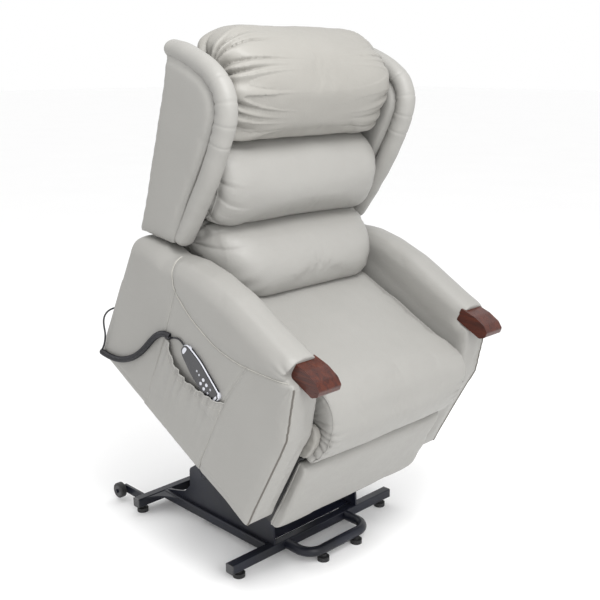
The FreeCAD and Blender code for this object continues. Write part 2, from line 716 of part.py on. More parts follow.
RECLINE_FRONT = 258.0
LEG_REAR = 560.0


def seat_cross_tubes():
    tubes = [
        block(f"cross_{name}", ("-arm_in", y, z), ("2 * arm_in", "cross_tube", "cross_tube"))
        for name, y, z in (("front", "front_tube_y", "front_tube_z"),
                           ("rear", "rear_tube_y", "rear_tube_z"))
    ]
    bar = rod("link_round", "X", ("-side_plate_in - plate_thick", "link_seat_y", "link_seat_z"),
              "pivot_radius", "2 * (side_plate_in + plate_thick)")
    group("link_bar", [bar], SEAT)

    top = "front_tube_z + 2"
    points = [
        ("front_tube_y", top),
        ("motor_seat_y - 15", "motor_seat_z + 4"),
        ("motor_seat_y - 9", "motor_seat_z - 13"),
        ("motor_seat_y + 9", "motor_seat_z - 13"),
        ("motor_seat_y + 15", "motor_seat_z + 4"),
        ("front_tube_y + cross_tube", top),
    ]
    lift, lift_holes = hanging_cheeks("lift_lug", "0", "13", points,
                                      [("motor_seat_y", "motor_seat_z", "pin_radius")])

    pin_y, pin_z = recline_pin()
    points = [
        ("front_tube_y + 8", top),
        (RECLINE_FRONT - 10, pin_z - 14),
        (RECLINE_FRONT + 10, pin_z - 14),
        (RECLINE_FRONT + 14, pin_z + 12),
        ("front_tube_y + cross_tube", "front_tube_z + cross_tube - 4"),
        ("front_tube_y + 8", "front_tube_z + cross_tube - 4"),
    ]
    recline, recline_holes = hanging_cheeks("recline_lug", "actuator_x", "13", points,
                                            [(RECLINE_FRONT, pin_z, "axle_radius")])
    crank_y, crank_z = crank_pin()
    points = [
        ("rear_tube_y + 2", "rear_tube_z"),
        ("rear_tube_y + 22", "rear_tube_z + cross_tube + 4"),
        (LEG_REAR + 14, crank_z + 8),
        (LEG_REAR + 6, crank_z + 15),
        (LEG_REAR - 12, crank_z + 12),
        (LEG_REAR - 14, crank_z - 10),
    ]
    legrest, legrest_holes = hanging_cheeks("legrest_lug", "-actuator_x", "13", points,
                                            [(LEG_REAR, crank_z, "axle_radius")])
    welded = fuse("cross_welded", tubes + lift + recline + legrest)
    holes = doc.addObject("Part::Compound", "cross_bores")
    holes.Links = [lift_holes, recline_holes, legrest_holes]
    keep(cut("cross_drilled", welded, holes), "seat_cross_tubes", SEAT)


def seat_pins():
    """Pins that belong to the seat frame, each flush with the plates that carry it."""
    arm_pin = rod("arm_pin", "X", ("lift_arm_in - 1", "arm_seat_y", "arm_seat_z"), "pivot_radius",
                  "side_plate_in + plate_thick - lift_arm_in + 1")
    rear_y, rear_z = LEG["rear"]
    leg_pin = rod("leg_rear_pin", "X", ("side_plate_in", rear_y, rear_z), "leg_pin",
                  "leg_arm_in + leg_thick - side_plate_in")
    back_pin = rod("back_pin", "X", ("back_half + 3", "back_pivot_y", "back_pivot_z"), "pivot_radius",
                   "arm_in - back_half - 3")
    lift_pin = rod("lift_eye_pin", "X", ("-21", "motor_seat_y", "motor_seat_z"), "pin_radius", "42")
    _, pin_z = recline_pin()
    recline_front_pin = rod("recline_front_pin", "X", ("actuator_x - 21", RECLINE_FRONT, pin_z),
                            "axle_radius", "42")
    _, crank_z = crank_pin()
    leg_rear_pin = rod("legrest_rear_pin", "X", ("-actuator_x - 21", LEG_REAR, crank_z),
                       "axle_radius", "42")
    members = [lift_pin, recline_front_pin, leg_rear_pin]
    for piece in (arm_pin, leg_pin, back_pin):
        members += [piece, mirrored(piece.Name + "_twin", piece)]
    group("seat_pins", members, SEAT)


def seat_deck():
    width = "2 * deck_half"
    depth = "deck_rear - deck_front"
    bars = [
        block("deck_front_bar", ("-deck_half", "deck_front", "deck_z"), (width, "deck_tube", "deck_tube")),
        block("deck_rear_bar", ("-deck_half", "deck_rear - deck_tube", "deck_z"),
              (width, "deck_tube", "deck_tube")),
        block("deck_left_bar", ("deck_half - deck_tube", "deck_front", "deck_z"),
              ("deck_tube", depth, "deck_tube")),
        block("deck_right_bar", ("-deck_half", "deck_front", "deck_z"), ("deck_tube", depth, "deck_tube")),
        block("deck_left_rest", ("side_plate_in", "deck_front", "deck_z"), ("plate_thick", depth, "6")),
        block("deck_right_rest", ("-side_plate_in - plate_thick", "deck_front", "deck_z"),
              ("plate_thick", depth, "6")),
    ]
    keep(fuse("deck_welded", bars), "seat_deck", SEAT)


def seat_springs():
    """Sinuous springs from the deck's front bar to its rear bar: straight runs and half circles."""
    wire_radius = 1.8
    swing = 18.0
    bend = 11.0
    count = 5
    start = size("deck_front") + size("deck_tube")
    end = size("deck_rear") - size("deck_tube")
    height = size("deck_z") + size("deck_tube") / 2
    loops = int((end - start) // (2 * bend))
    spare = (end - start - loops * 2 * bend) / 2
    springs = []
    for index in range(count):
        middle = (index - (count - 1) / 2) * 73.0
        edges = []
        here = FreeCAD.Vector(middle, start, height)
        there = FreeCAD.Vector(middle, start + spare, height)
        edges.append(Part.makeLine(here, there))
        side = 1
        for _ in range(loops):
            out = there + FreeCAD.Vector(side * swing, 0, 0)
            top = out + FreeCAD.Vector(side * bend, bend, 0)
            back = out + FreeCAD.Vector(0, 2 * bend, 0)
            home = there + FreeCAD.Vector(0, 2 * bend, 0)
            edges.append(Part.makeLine(there, out))
            edges.append(Part.Arc(out, top, back).toShape())
            edges.append(Part.makeLine(back, home))
            there = home
            side = -side
        edges.append(Part.makeLine(there, FreeCAD.Vector(middle, end, height)))
        wire = Part.Wire(edges)
        circle = Part.Wire(Part.makeCircle(wire_radius, here, FreeCAD.Vector(0, 1, 0)))
        springs.append(wire.makePipeShell([circle], True, False, 2))
    feature = doc.addObject("Part::Feature", "springs")
    feature.Shape = Part.makeCompound(springs)
    keep(feature, "seat_springs", SEAT)


# ---------------------------------------------------------------- upholstery on the seat frame

ARM_TOP = [
    ("44", "479"),
    ("68", "487"),
    ("197", "491"),
    ("297", "496"),
    ("395", "487"),
    ("473", "471"),
    ("548", "441"),
    ("600", "436"),
    ("650", "418"),
    ("680", "403"),
]


def arms():
    lower = [("695", "-6"), ("0", "-6"), ("-7", "298")]
    side = plate("arm_block", lower + ARM_TOP, "arm_in", "arm_panel - arm_in")
    seam = [("543", "440"), ("473", "379"), ("385", "357"), ("297", "353"), ("179", "379"), ("44", "454")]
    roll = plate("arm_roll", seam + ARM_TOP[:7], "arm_panel", "arm_out - arm_panel")
    board_points = [("660", "20"), ("30", "20"), ("24", "298"), ("60", "434"), ("90", "434"),
                    ("96", "450"), ("470", "440"), ("640", "380")]
    board = plate("arm_board", board_points, "arm_board_in", "arm_board_thick")
    knuckle = knuckle_blank()
    notch = block("knuckle_notch", ("arm_in - 1", "-20", "438"), ("arm_out - arm_in + 2", "90", "70"))
    inside = doc.addObject("Part::Compound", "arm_inside")
    inside.Links = [board, fuse("knuckle_room", [notch, knuckle])]
    padded = cut("arm_hollow", fuse("arm_whole", [side, roll]), inside)
    group("arm_left", [padded], SEAT)
    group("arm_right", [mirrored("arm_twin", padded)], SEAT)
    pair("arm_boards", board, SEAT)
    pair("arm_knuckles", knuckle, SEAT)


def knuckle_blank():
    """A wooden knuckle: a flat underside, a rounded nose and a slightly crowned top."""
    points = [
        ("84", "438"),
        ("-4", "438"),
        ("-18", "452"),
        ("-16", "468"),
        ("2", "478"),
        ("38", "481"),
        ("84", "474"),
    ]
    rounds = [("10", points[1:3]), ("8", points[3:4]), ("16", points[4:5]), ("40", points[5:6])]
    return plate("knuckle_block", points, "knuckle_in", "knuckle_wide", rounds)


def seat_cushion():
    points = [
        ("-32", "194"),
        ("-38", "330"),
        ("-20", "368"),
        ("20", "381"),
        ("350", "379"),
        ("548", "366"),
        ("548", "255"),
        ("26", "255"),
        ("26", "194"),
    ]
    rounds = [("20", points[:1]), ("24", points[1:3]), ("6", points[8:9])]
    keep(slab("cushion", points, "seat_half", rounds), "seat_cushion", SEAT)


def side_pocket():
    """A shallow open-topped pocket on the right arm, its mouth sagging in the middle."""
    outer = [("466", "6"), ("206", "6"), ("200", "241"), ("221", "237"), ("247", "229"), ("286", "216"),
             ("331", "206"), ("376", "209"), ("411", "220"), ("438", "244"), ("462", "240")]
    inner = [("462", "9"), ("210", "9"), ("214", "260"), ("452", "260")]
    skin = plate("pocket_block", outer, "-pocket_out", "pocket_out - arm_panel")
    hollow = plate("pocket_hollow", inner, "-pocket_out + pocket_skin",
                   "pocket_out - pocket_skin - arm_panel + 1")
    keep(cut("pocket", skin, hollow), "side_pocket", SEAT)


# ---------------------------------------------------------------- handset and cord

HANDSET_TOP = (382.0, 277.0)
HANDSET_LOW = (222.0, 233.0)


def handset_frame():
    """Z runs up the handset from its lower tip, X out of its face, Y across it."""
    along = FreeCAD.Vector(0, HANDSET_TOP[0] - HANDSET_LOW[0], HANDSET_TOP[1] - HANDSET_LOW[1])
    turn = FreeCAD.Rotation(FreeCAD.Vector(-1, 0, 0), FreeCAD.Vector(0, 0, 1), along, "ZXY")
    low = FreeCAD.Vector(-size("handset_x"), HANDSET_LOW[0], HANDSET_LOW[1])
    return SEAT.multiply(FreeCAD.Placement(low, turn))


BUTTONS = [("back_up", -10, 62), ("back_down", -10, 46), ("feet_up", 6, 62), ("feet_down", 6, 46)]


def handset():
    place = handset_frame()
    wide = size("handset_wide")
    points = [
        ("0", "-handset_wide / 2 + 8"),
        ("14", "-handset_wide / 2"),
        ("104", "-handset_wide / 2 - 2"),
        ("handset_long - 14", "-handset_wide / 2 + 6"),
        ("handset_long", "-10"),
        ("handset_long", "10"),
        ("handset_long - 14", "handset_wide / 2 - 6"),
        ("104", "handset_wide / 2 + 2"),
        ("14", "handset_wide / 2"),
        ("0", "handset_wide / 2 - 8"),
    ]
    turned = [(across, along) for along, across in points]
    rounds = [("7", [turned[i] for i in (0, 1, 8, 9)]), ("9", [turned[i] for i in (3, 4, 5, 6)])]
    back = plate("handset_back_block", turned, "0", "7", rounds)
    keep(back, "handset_back", place)
    front = plate("handset_front_block", turned, "7", "handset_thick - 7", rounds)
    holes = doc.addObject("Part::Compound", "button_holes")
    holes.Links = [
        rod(f"button_hole_{name}", "X", ("handset_thick - 4", across, along), "button_radius + 0.4", "8")
        for name, across, along in BUTTONS
    ]
    keep(cut("handset_face", front, holes), "handset_front", place)
    for name, across, along in BUTTONS:
        raw = rod(f"button_{name}_raw", "X", ("handset_thick - 2.4", across, along), "button_radius", "3.6")
        top = number("handset_thick + 1.2")
        soft = softened(f"button_{name}_soft", raw, "0.8",
                        lambda edge: len(edge.Vertexes) == 1 and edge.Vertexes[0].Point.x > top - 0.01)
        keep(soft, f"button_{name}", place)


def tangent_route(points):
    """Straight runs joined by tangent arcs, each as large as its two runs allow."""
    edges = []
    radii = []
    here = points[0]
    for before, corner, after in zip(points, points[1:], points[2:]):
        back = before - corner
        ahead = after - corner
        turn = math.pi - back.getAngle(ahead)
        reach = 0.45 * min(back.Length, ahead.Length)
        radii.append(reach / math.tan(turn / 2))
        into = corner + back.normalize() * reach
        out = corner + ahead.normalize() * reach
        bisector = (back + ahead).normalize()
        middle = corner + bisector * (radii[-1] / math.cos(turn / 2) - radii[-1])
        edges.append(Part.makeLine(here, into))
        edges.append(Part.Arc(into, middle, out).toShape())
        here = out
    edges.append(Part.makeLine(here, points[-1]))
    return Part.Wire(edges), radii


def tube_along(name, points, radius):
    wire, radii = tangent_route(points)
    circle = Part.Wire(Part.makeCircle(radius, points[0], points[1] - points[0]))
    solid = wire.makePipeShell([circle], True, False, 2)
    expected = math.pi * radius**2 * wire.Length
    print(f"{name}: length {wire.Length:.1f}, volume over section x length {solid.Volume / expected:.4f}")
    print(f"{name}: bend radii " + ", ".join(f"{value:.1f}" for value in radii))
    return solid


LEAD_IN = [
    (-352, 704, 146), (-364, 714, 135), (-378, 716, 122), (-389, 707, 110), (-394, 692, 97),
    (-393, 680, 82), (-392, 674, 62), (-391, 673, 42), (-391, 670, 22),
]
COIL = [
    (-391, 674, 16), (-392, 650, 24), (-392, 622, 37), (-392, 594, 54), (-392, 568, 77),
    (-392, 546, 103), (-391, 528, 132), (-391, 514, 163), (-391, 503, 194), (-390.5, 491, 223),
    (-390.5, 475, 245), (-390.5, 458, 257), (-390.5, 440, 263.5),
]
LEAD_OUT = [
    (-390.5, 440, 263.5), (-389.8, 428, 270), (-389, 414, 278.5), (-388.5, 399, 281.5), (-388.3, 382, 277),
]


def cord():
    """The handset's cord: a lead from the gland, the curly stretch and a short lead to the handset."""
    vectors = [[FreeCAD.Vector(*point) for point in route] for route in (LEAD_IN, COIL, LEAD_OUT)]
    lead_in = tube_along("lead in", vectors[0], size("lead_radius"))
    coil = tube_along("coil", vectors[1], size("coil_radius"))
    lead_out = tube_along("lead out", vectors[2], size("lead_radius"))
    for name, solids in (("cord_leads", [lead_in, lead_out]), ("cord_coil", [coil])):
        feature = doc.addObject("Part::Feature", name + "_solid")
        feature.Shape = Part.makeCompound(solids)
        keep(feature, name, SEAT)
    gland = rod("gland_round", "Y", ("-352", "695", "146"), "6", "9")
    keep(softened("gland_soft", gland, "1.5", lambda edge: len(edge.Vertexes) == 1 and
                  edge.Vertexes[0].Point.y > 700), "cord_gland", SEAT)


# ---------------------------------------------------------------- backrest

def backrest():
    points = [("615", "262"), ("640", "409"), ("721", "890"), ("755", "890"), ("676", "409"),
              ("655", "262")]
    panel = slab("back_slab", points, "back_half")
    cheek_points = [
        ("back_pivot_y - 16", "back_pivot_z - 14"),
        ("640", "264"),
        ("650", "330"),
        ("back_pivot_y - 16", "back_pivot_z + 18"),
    ]
    cheek = plate("back_cheek", cheek_points, "back_half - 1", "8",
                  [("10", [cheek_points[0], cheek_points[3]])])
    pivot_bore = rod("back_bore", "X", ("-back_half - 20", "back_pivot_y", "back_pivot_z"),
                     "pivot_radius + running_gap", "2 * back_half + 40")

    pin_y, pin_z = recline_pin()
    lug_points = [("652", "300"), ("628", "300"), (pin_y - 18, pin_z + 14), (pin_y - 16, pin_z - 20),
                  (pin_y + 16, pin_z - 24), (pin_y + 26, pin_z + 6), ("654", "270")]
    lugs = [
        plate(f"recline_cheek_{side}", lug_points, x, "6")
        for side, x in (("near", "actuator_x + 9"), ("far", "actuator_x - 15"))
    ]
    slot = recline_slot(pin_y, pin_z)
    whole = fuse("back_welded", [panel, cheek, mirrored("back_cheek_twin", cheek)] + lugs)
    holes = doc.addObject("Part::Compound", "back_bores")
    holes.Links = [pivot_bore, slot]
    keep(cut("back_drilled", whole, holes), "back_frame", SEAT)

    points = [("656", "262"), ("676.6", "409"), ("755.6", "890"), ("770", "888"), ("691", "406"),
              ("670", "262")]
    keep(slab("back_cover", points, "back_half + 10"), "back_panel", SEAT)


def recline_slot(pin_y, pin_z):
    """A short slot towards the pivot: the rod's pin runs straight while the lug turns."""
    play = 8.0
    depth = size("lug_radius") * (1 - math.cos(math.radians(size("lug_lead"))))
    towards = math.atan2(size("back_pivot_y") - pin_y, size("back_pivot_z") - pin_z)
    slot = block("slot_box", ("0", "0", "0"), ("40", 2 * play, depth))
    for axis in "xyz":
        slot.setExpression("Placement.Base." + axis, None)
    start = aimed(FreeCAD.Placement(), size("actuator_x") - 20, (pin_y, pin_z),
                  (pin_y + math.sin(towards), pin_z + math.cos(towards)))
    slot.Placement = start.multiply(FreeCAD.Placement(FreeCAD.Vector(0, -play, 0), FreeCAD.Rotation()))
    low = rod("slot_low", "X", ("actuator_x - 20", pin_y, pin_z), play, "40")
    high = rod("slot_high", "X", ("actuator_x - 20", pin_y + depth * math.sin(towards),
               pin_z + depth * math.cos(towards)), play, "40")
    return fuse("recline_slot", [slot, low, high])


def wings():
    points = [
        ("707", "420"), ("640", "446"), ("576", "452"), ("545", "456"), ("530", "520"), ("521", "586"),
        ("514", "709"), ("520", "810"), ("538", "869"), ("565", "900"), ("600", "914"), ("745", "919"),
        ("815", "906"), ("838", "884"), ("824", "864"), ("783", "859"),
    ]
    left = plate("wing_block", points, "wing_in", "wing_wide")
    group("wing_left", [left], SEAT)
    group("wing_right", [mirrored("wing_twin", left)], SEAT)


def pillows():
    lumbar = [("592", "388"), ("400", "388"), ("366", "402"), ("368", "440"), ("402", "488"),
              ("466", "518"), ("657.6", "522"), ("636.5", "393"), ("628", "388")]
    keep(slab("lumbar", lumbar, "lumbar_half", [("14", lumbar[2:3]), ("30", lumbar[3:5])]),
         "lumbar_pillow", SEAT)
    middle = [("659", "525"), ("528", "525"), ("498", "545"), ("489", "602"), ("506", "668"),
              ("544", "712"), ("590", "731"), ("694", "738")]
    keep(slab("middle", middle, "middle_half", [("14", middle[2:3]), ("20", middle[3:6])]),
         "middle_pillow", SEAT)
    head = [("695.5", "742"), ("615", "742"), ("585", "770"), ("568", "835"), ("574", "898"),
            ("612", "946"), ("672", "972"), ("738", "977"), ("786", "953"), ("800", "922"),
            ("790", "893"), ("720.5", "893")]
    keep(slab("head", head, "head_half", [("20", head[2:5]), ("30", head[5:7])]), "head_pillow", SEAT)


def recline_actuator():
    pin_y, pin_z = recline_pin()
    length = pin_y - RECLINE_FRONT
    place = aimed(SEAT, size("actuator_x"), (RECLINE_FRONT, pin_z), (pin_y, pin_z))
    housing, sleeve, shaft = actuator("recline", 1, 256, length - 186, length, 7, "8", "14", "pin_radius")
    keep(fuse("recline_unit", [housing, sleeve]), "recline_motor", place)
    pin = rod("recline_eye_pin", "X", ("-17", "0", "0"), "pin_radius", "34")
    bind(pin, "Placement.Base.z", length)
    keep(fuse("recline_shaft", [shaft, pin]), "recline_rod", place)


# ---------------------------------------------------------------- leg rest

def leg_linkage():
    bore = "leg_pin + running_gap"
    arm = bar_link("leg_arm", [LEG["shaft"], LEG["cross"], LEG["tail"]], "leg_arm_in", "leg_thick",
                   "10", "leg_pin")
    shaft = rod("leg_round", "X", ("-leg_arm_in - leg_thick", "leg_shaft_y", "leg_shaft_z"),
                "leg_shaft_radius", "2 * (leg_arm_in + leg_thick)")
    pins = []
    for name, (y, z), low, high in (
        ("cross", LEG["cross"], "leg_arm_in", "leg_carrier_in + leg_thick"),
        ("tail", LEG["tail"], "leg_link_in", "leg_arm_in + leg_thick"),
    ):
        pins.append(rod(f"leg_pin_{name}", "X", (low, y, z), "leg_pin", f"{high} - ({low})"))
    side = fuse("leg_arm_side", [arm] + pins)

    crank_y, crank_z = crank_pin()
    cheeks = []
    reach = ((crank_y - size("leg_shaft_y")) / size("crank_radius"),
             (crank_z - size("leg_shaft_z")) / size("crank_radius"))
    tip = (size("leg_shaft_y") + reach[0] * 70, size("leg_shaft_z") + reach[1] * 70)
    for name, x in (("near", "-actuator_x + 9"), ("far", "-actuator_x - 15")):
        cheeks.append(bar_link(f"crank_{name}", [LEG["shaft"], tip], x, "6", "20", "1"))
    crank = fuse("crank_welded", [side, mirrored("leg_arm_side_twin", side), shaft] + cheeks)
    keep(cut("crank_slotted", crank, crank_slot(reach)), "legrest_shaft", SEAT)

    rear = bar_link("leg_rear", [LEG["rear"], LEG["end"]], "leg_arm_in", "leg_thick", "10", bore)
    pair("legrest_rear_arms", rear, SEAT)

    carrier = bar_link("leg_carrier", [LEG["end"], LEG["cross"], LEG["top"]], "leg_carrier_in",
                       "leg_thick", "10", bore)
    end_y, end_z = LEG["end"]
    end_pin = rod("leg_pin_end", "X", ("leg_arm_in", end_y, end_z), "leg_pin",
                  "leg_carrier_in + leg_thick - leg_arm_in")
    pair("legrest_carriers", fuse("leg_carrier_pinned", [carrier, end_pin]), SEAT)

    link = bar_link("leg_front", [LEG["tail"], LEG["low"]], "leg_link_in", "leg_thick", "10", bore)
    pair("legrest_front_links", link, SEAT)


def crank_slot(reach):
    """A slot along the crank: the rod's pin runs straight while the crank turns."""
    play = 10.0
    near, far = 51.0, 71.0
    ends = []
    for name, distance in (("near", near), ("far", far)):
        y = size("leg_shaft_y") + reach[0] * distance
        z = size("leg_shaft_z") + reach[1] * distance
        ends.append(rod(f"crank_slot_{name}", "X", ("-actuator_x - 20", y, z), play, "40"))
    start = (size("leg_shaft_y") + reach[0] * near, size("leg_shaft_z") + reach[1] * near)
    end = (size("leg_shaft_y") + reach[0] * far, size("leg_shaft_z") + reach[1] * far)
    middle = block("crank_slot_middle", ("0", "0", "0"), ("40", 2 * play, far - near))
    for axis in "xyz":
        middle.setExpression("Placement.Base." + axis, None)
    place = aimed(FreeCAD.Placement(), -size("actuator_x") - 20, start, end)
    middle.Placement = place.multiply(FreeCAD.Placement(FreeCAD.Vector(0, -play, 0), FreeCAD.Rotation()))
    return fuse("crank_slot", ends + [middle])


def leg_board():
    points = [("board_joint", "board_low"), ("board_back", "board_low"), ("board_back", "board_high"),
              ("board_joint", "board_high")]
    keep(slab("board", points, "board_half - 6"), "legrest_board", SEAT)
    points = [("board_joint", "board_low - 4"), ("board_joint", "board_high"),
              ("board_front", "board_high"),
              ("board_front", "board_low - 4")]
    rounds = [("14", points[2:4])]
    keep(slab("pad", points, "board_half", rounds), "legrest_pad", SEAT)

    top_y, top_z = LEG["top"]
    low_y, low_z = LEG["low"]
    points = [("board_back", "board_high - 8"), ("board_back", low_z - 20), (low_y - 2, low_z - 10),
              (low_y + 9, low_z - 2), (low_y + 8, low_z + 10), (top_y + 9, top_z + 4),
              (top_y + 2, top_z + 11)]
    blank = plate("bracket_blank", points, "leg_arm_in", "leg_thick")
    flange = block("bracket_flange", ("leg_arm_in", "board_back", low_z - 20),
                   ("28", "4", number("board_high") - 8 - (low_z - 20)))
    top_pin = rod("bracket_top_pin", "X", ("leg_arm_in", top_y, top_z), "leg_pin",
                  "leg_carrier_in + leg_thick - leg_arm_in")
    low_pin = rod("bracket_low_pin", "X", ("leg_link_in", low_y, low_z), "leg_pin",
                  "leg_arm_in + leg_thick - leg_link_in")
    pair("legrest_brackets", fuse("bracket_welded", [blank, flange, top_pin, low_pin]), SEAT)


def legrest_actuator():
    crank_y, crank_z = crank_pin()
    length = LEG_REAR - crank_y
    place = aimed(SEAT, -size("actuator_x"), (LEG_REAR, crank_z), (crank_y, crank_z))
    housing, sleeve, shaft = actuator("legrest", -1, 414, length - 340, length, 7, "8", "14", "pin_radius")
    keep(fuse("legrest_unit", [housing, sleeve]), "legrest_motor", place)
    pin = rod("legrest_eye_pin", "X", ("-17", "0", "0"), "pin_radius", "34")
    bind(pin, "Placement.Base.z", length)
    keep(fuse("legrest_shank", [shaft, pin]), "legrest_rod", place)


# ---------------------------------------------------------------- build, check, write

base_tubes()
front_loop()
base_small_parts()
towers()
transport_wheel("left", "rear_half - 22")
transport_wheel("right", "-rear_half + 2")
lift_linkage()
lift_actuator()
side_plates()
seat_cross_tubes()
seat_pins()
seat_deck()
seat_springs()
arms()
seat_cushion()
side_pocket()
handset()
cord()
backrest()
wings()
pillows()
recline_actuator()
leg_linkage()
leg_board()
legrest_actuator()

doc.recompute()
broken = [item.Name for item in doc.Objects if "Invalid" in item.State or "Error" in item.State]
for part in parts:
    if part.Shape.isNull() or not part.Shape.isValid() or not part.Shape.Solids:
        broken.append(part.Label)
if broken:
    raise RuntimeError("these objects failed: " + ", ".join(broken))

os.makedirs("parts", exist_ok=True)
for part in parts:
    part.Shape.exportStep(os.path.join("parts", part.Label + ".step"))
print(len(parts), "sub-parts written")
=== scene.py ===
import math

import bmesh
import bpy
import numpy as np
from mathutils import Matrix, Vector, noise
from mathutils.bvhtree import BVHTree


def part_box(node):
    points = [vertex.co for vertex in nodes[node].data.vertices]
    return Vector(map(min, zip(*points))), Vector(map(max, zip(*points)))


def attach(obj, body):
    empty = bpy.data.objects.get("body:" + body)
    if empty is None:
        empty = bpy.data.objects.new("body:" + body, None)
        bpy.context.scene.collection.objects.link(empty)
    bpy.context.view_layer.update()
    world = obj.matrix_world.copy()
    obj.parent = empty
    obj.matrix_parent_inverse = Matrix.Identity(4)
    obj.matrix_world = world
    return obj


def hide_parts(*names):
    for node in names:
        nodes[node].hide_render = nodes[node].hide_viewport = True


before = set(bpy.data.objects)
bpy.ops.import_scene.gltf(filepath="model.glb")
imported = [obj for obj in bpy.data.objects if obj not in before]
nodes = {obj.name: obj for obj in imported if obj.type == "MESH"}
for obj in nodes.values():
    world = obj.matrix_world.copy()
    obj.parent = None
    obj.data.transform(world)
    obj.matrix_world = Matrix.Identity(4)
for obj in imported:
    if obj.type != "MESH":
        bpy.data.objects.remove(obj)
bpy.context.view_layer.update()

# Lift recliner chair in stone leather, raised on its lift. Everything upholstered is shaped in the
# seat frame (millimetres, X across, Y backwards, Z up from the arms' lower front corner), then put
# in the row frame by SEAT.
MM = 0.001
SEAT = Matrix.Translation((0, -0.267, 0.230)) @ Matrix.Rotation(math.radians(27.3), 4, "X")
scene = bpy.context.scene


# ---------------------------------------------------------------- camera

def make_camera():
    data = bpy.data.cameras.new("camera")
    data.lens = 55.1
    data.sensor_width = 36
    data.shift_x = -0.0003
    data.shift_y = -0.0078
    data.clip_start = 0.05
    data.clip_end = 60
    camera = bpy.data.objects.new("camera", data)
    scene.collection.objects.link(camera)
    yaw = 0.781
    pitch = 0.249
    forward = Vector((math.sin(yaw) * math.cos(pitch), math.cos(yaw) * math.cos(pitch), -math.sin(pitch)))
    camera.rotation_mode = "QUATERNION"
    camera.rotation_quaternion = forward.to_track_quat("-Z", "Y")
    camera.location = (-1.732, -1.821, 1.344)
    scene.camera = camera


make_camera()


# ---------------------------------------------------------------- materials

class Nodes:
    """A small helper that adds shader nodes and joins them."""

    def __init__(self, name):
        self.material = bpy.data.materials.new(name)
        self.material.use_nodes = True
        self.tree = self.material.node_tree
        self.shader = self.tree.nodes["Principled BSDF"]
        self.place = self.add("ShaderNodeTexCoord").outputs["Object"]

    def add(self, kind, **values):
        node = self.tree.nodes.new(kind)
        for key, value in values.items():
            setattr(node, key, value)
        return node

    def join(self, source, target):
        self.tree.links.new(source, target)

    def stretched(self, scale):
        node = self.add("ShaderNodeMapping")
        node.inputs["Scale"].default_value = scale
        self.join(self.place, node.inputs["Vector"])
        return node.outputs["Vector"]

    def noise(self, scale, detail=3.0, rough=0.5, vector=None, distortion=0.0):
        node = self.add("ShaderNodeTexNoise")
        node.inputs["Scale"].default_value = scale
        node.inputs["Detail"].default_value = detail
        node.inputs["Roughness"].default_value = rough
        node.inputs["Distortion"].default_value = distortion
        self.join(vector or self.place, node.inputs["Vector"])
        return node.outputs["Fac"]

    def cells(self, scale, feature="F1", vector=None):
        node = self.add("ShaderNodeTexVoronoi", feature=feature)
        node.inputs["Scale"].default_value = scale
        self.join(vector or self.place, node.inputs["Vector"])
        return node.outputs["Distance"]

    def ramp(self, source, stops):
        node = self.add("ShaderNodeValToRGB")
        while len(node.color_ramp.elements) < len(stops):
            node.color_ramp.elements.new(0.5)
        for element, (where, colour) in zip(node.color_ramp.elements, stops):
            element.position = where
            element.color = (*colour, 1)
        self.join(source, node.inputs["Fac"])
        return node.outputs["Color"]

    def spread(self, source, low, high, from_low=0.3, from_high=0.7):
        node = self.add("ShaderNodeMapRange")
        node.inputs["From Min"].default_value = from_low
        node.inputs["From Max"].default_value = from_high
        node.inputs["To Min"].default_value = low
        node.inputs["To Max"].default_value = high
        self.join(source, node.inputs["Value"])
        return node.outputs["Result"]

    def bump(self, source, strength, distance, before=None):
        node = self.add("ShaderNodeBump")
        node.inputs["Strength"].default_value = strength
        node.inputs["Distance"].default_value = distance
        self.join(source, node.inputs["Height"])
        if before:
            self.join(before, node.inputs["Normal"])
        return node.outputs["Normal"]

    def finish(self, colour, roughness, normal, metallic=0.0, specular=0.5, coat=0.0, sheen=0.0):
        self.join(colour, self.shader.inputs["Base Color"])
        self.join(roughness, self.shader.inputs["Roughness"])
        self.join(normal, self.shader.inputs["Normal"])
        self.shader.inputs["Metallic"].default_value = metallic
        self.shader.inputs["Specular IOR Level"].default_value = specular
        self.shader.inputs["Coat Weight"].default_value = coat
        self.shader.inputs["Coat Roughness"].default_value = 0.25
        self.shader.inputs["Sheen Weight"].default_value = sheen
        return self.material


def leather(name, light, dark, grain=1.0):
    n = Nodes(name)
    patches = n.noise(4.5, 4, 0.6)
    mottle = n.noise(60, 3, 0.6)
    mixed = n.add("ShaderNodeMath", operation="MULTIPLY_ADD")
    mixed.inputs[1].default_value = 0.35
    n.join(mottle, mixed.inputs[0])
    n.join(patches, mixed.inputs[2])
    colour = n.ramp(mixed.outputs[0], [(0.35, dark), (1.0, light)])
    pores = n.cells(620)
    pebbles = n.cells(310, "SMOOTH_F1")
    creases = n.noise(26, 5, 0.65, n.stretched((1.0, 0.45, 1.6)), 0.6)
    normal = n.bump(creases, 0.10, 0.006)
    normal = n.bump(pebbles, 0.16 * grain, 0.0012, normal)
    normal = n.bump(pores, 0.10 * grain, 0.0006, normal)
    roughness = n.spread(mottle, 0.42, 0.54)
    return n.finish(colour, roughness, normal, specular=0.42)


def powder_coat():
    n = Nodes("powder_coat")
    colour = n.ramp(n.noise(7, 4), [(0.35, (0.005, 0.006, 0.010)), (0.7, (0.011, 0.013, 0.024))])
    normal = n.bump(n.noise(900, 2), 0.10, 0.0005)
    return n.finish(colour, n.spread(n.noise(30, 4), 0.30, 0.44), normal, specular=0.32, coat=0.06)


def zinc():
    n = Nodes("zinc_steel")
    streaks = n.noise(40, 4, 0.6, n.stretched((1, 1, 12)))
    colour = n.ramp(streaks, [(0.3, (0.46, 0.47, 0.49)), (0.7, (0.66, 0.66, 0.67))])
    return n.finish(colour, n.spread(streaks, 0.24, 0.42), n.bump(streaks, 0.06, 0.0006), metallic=1.0)


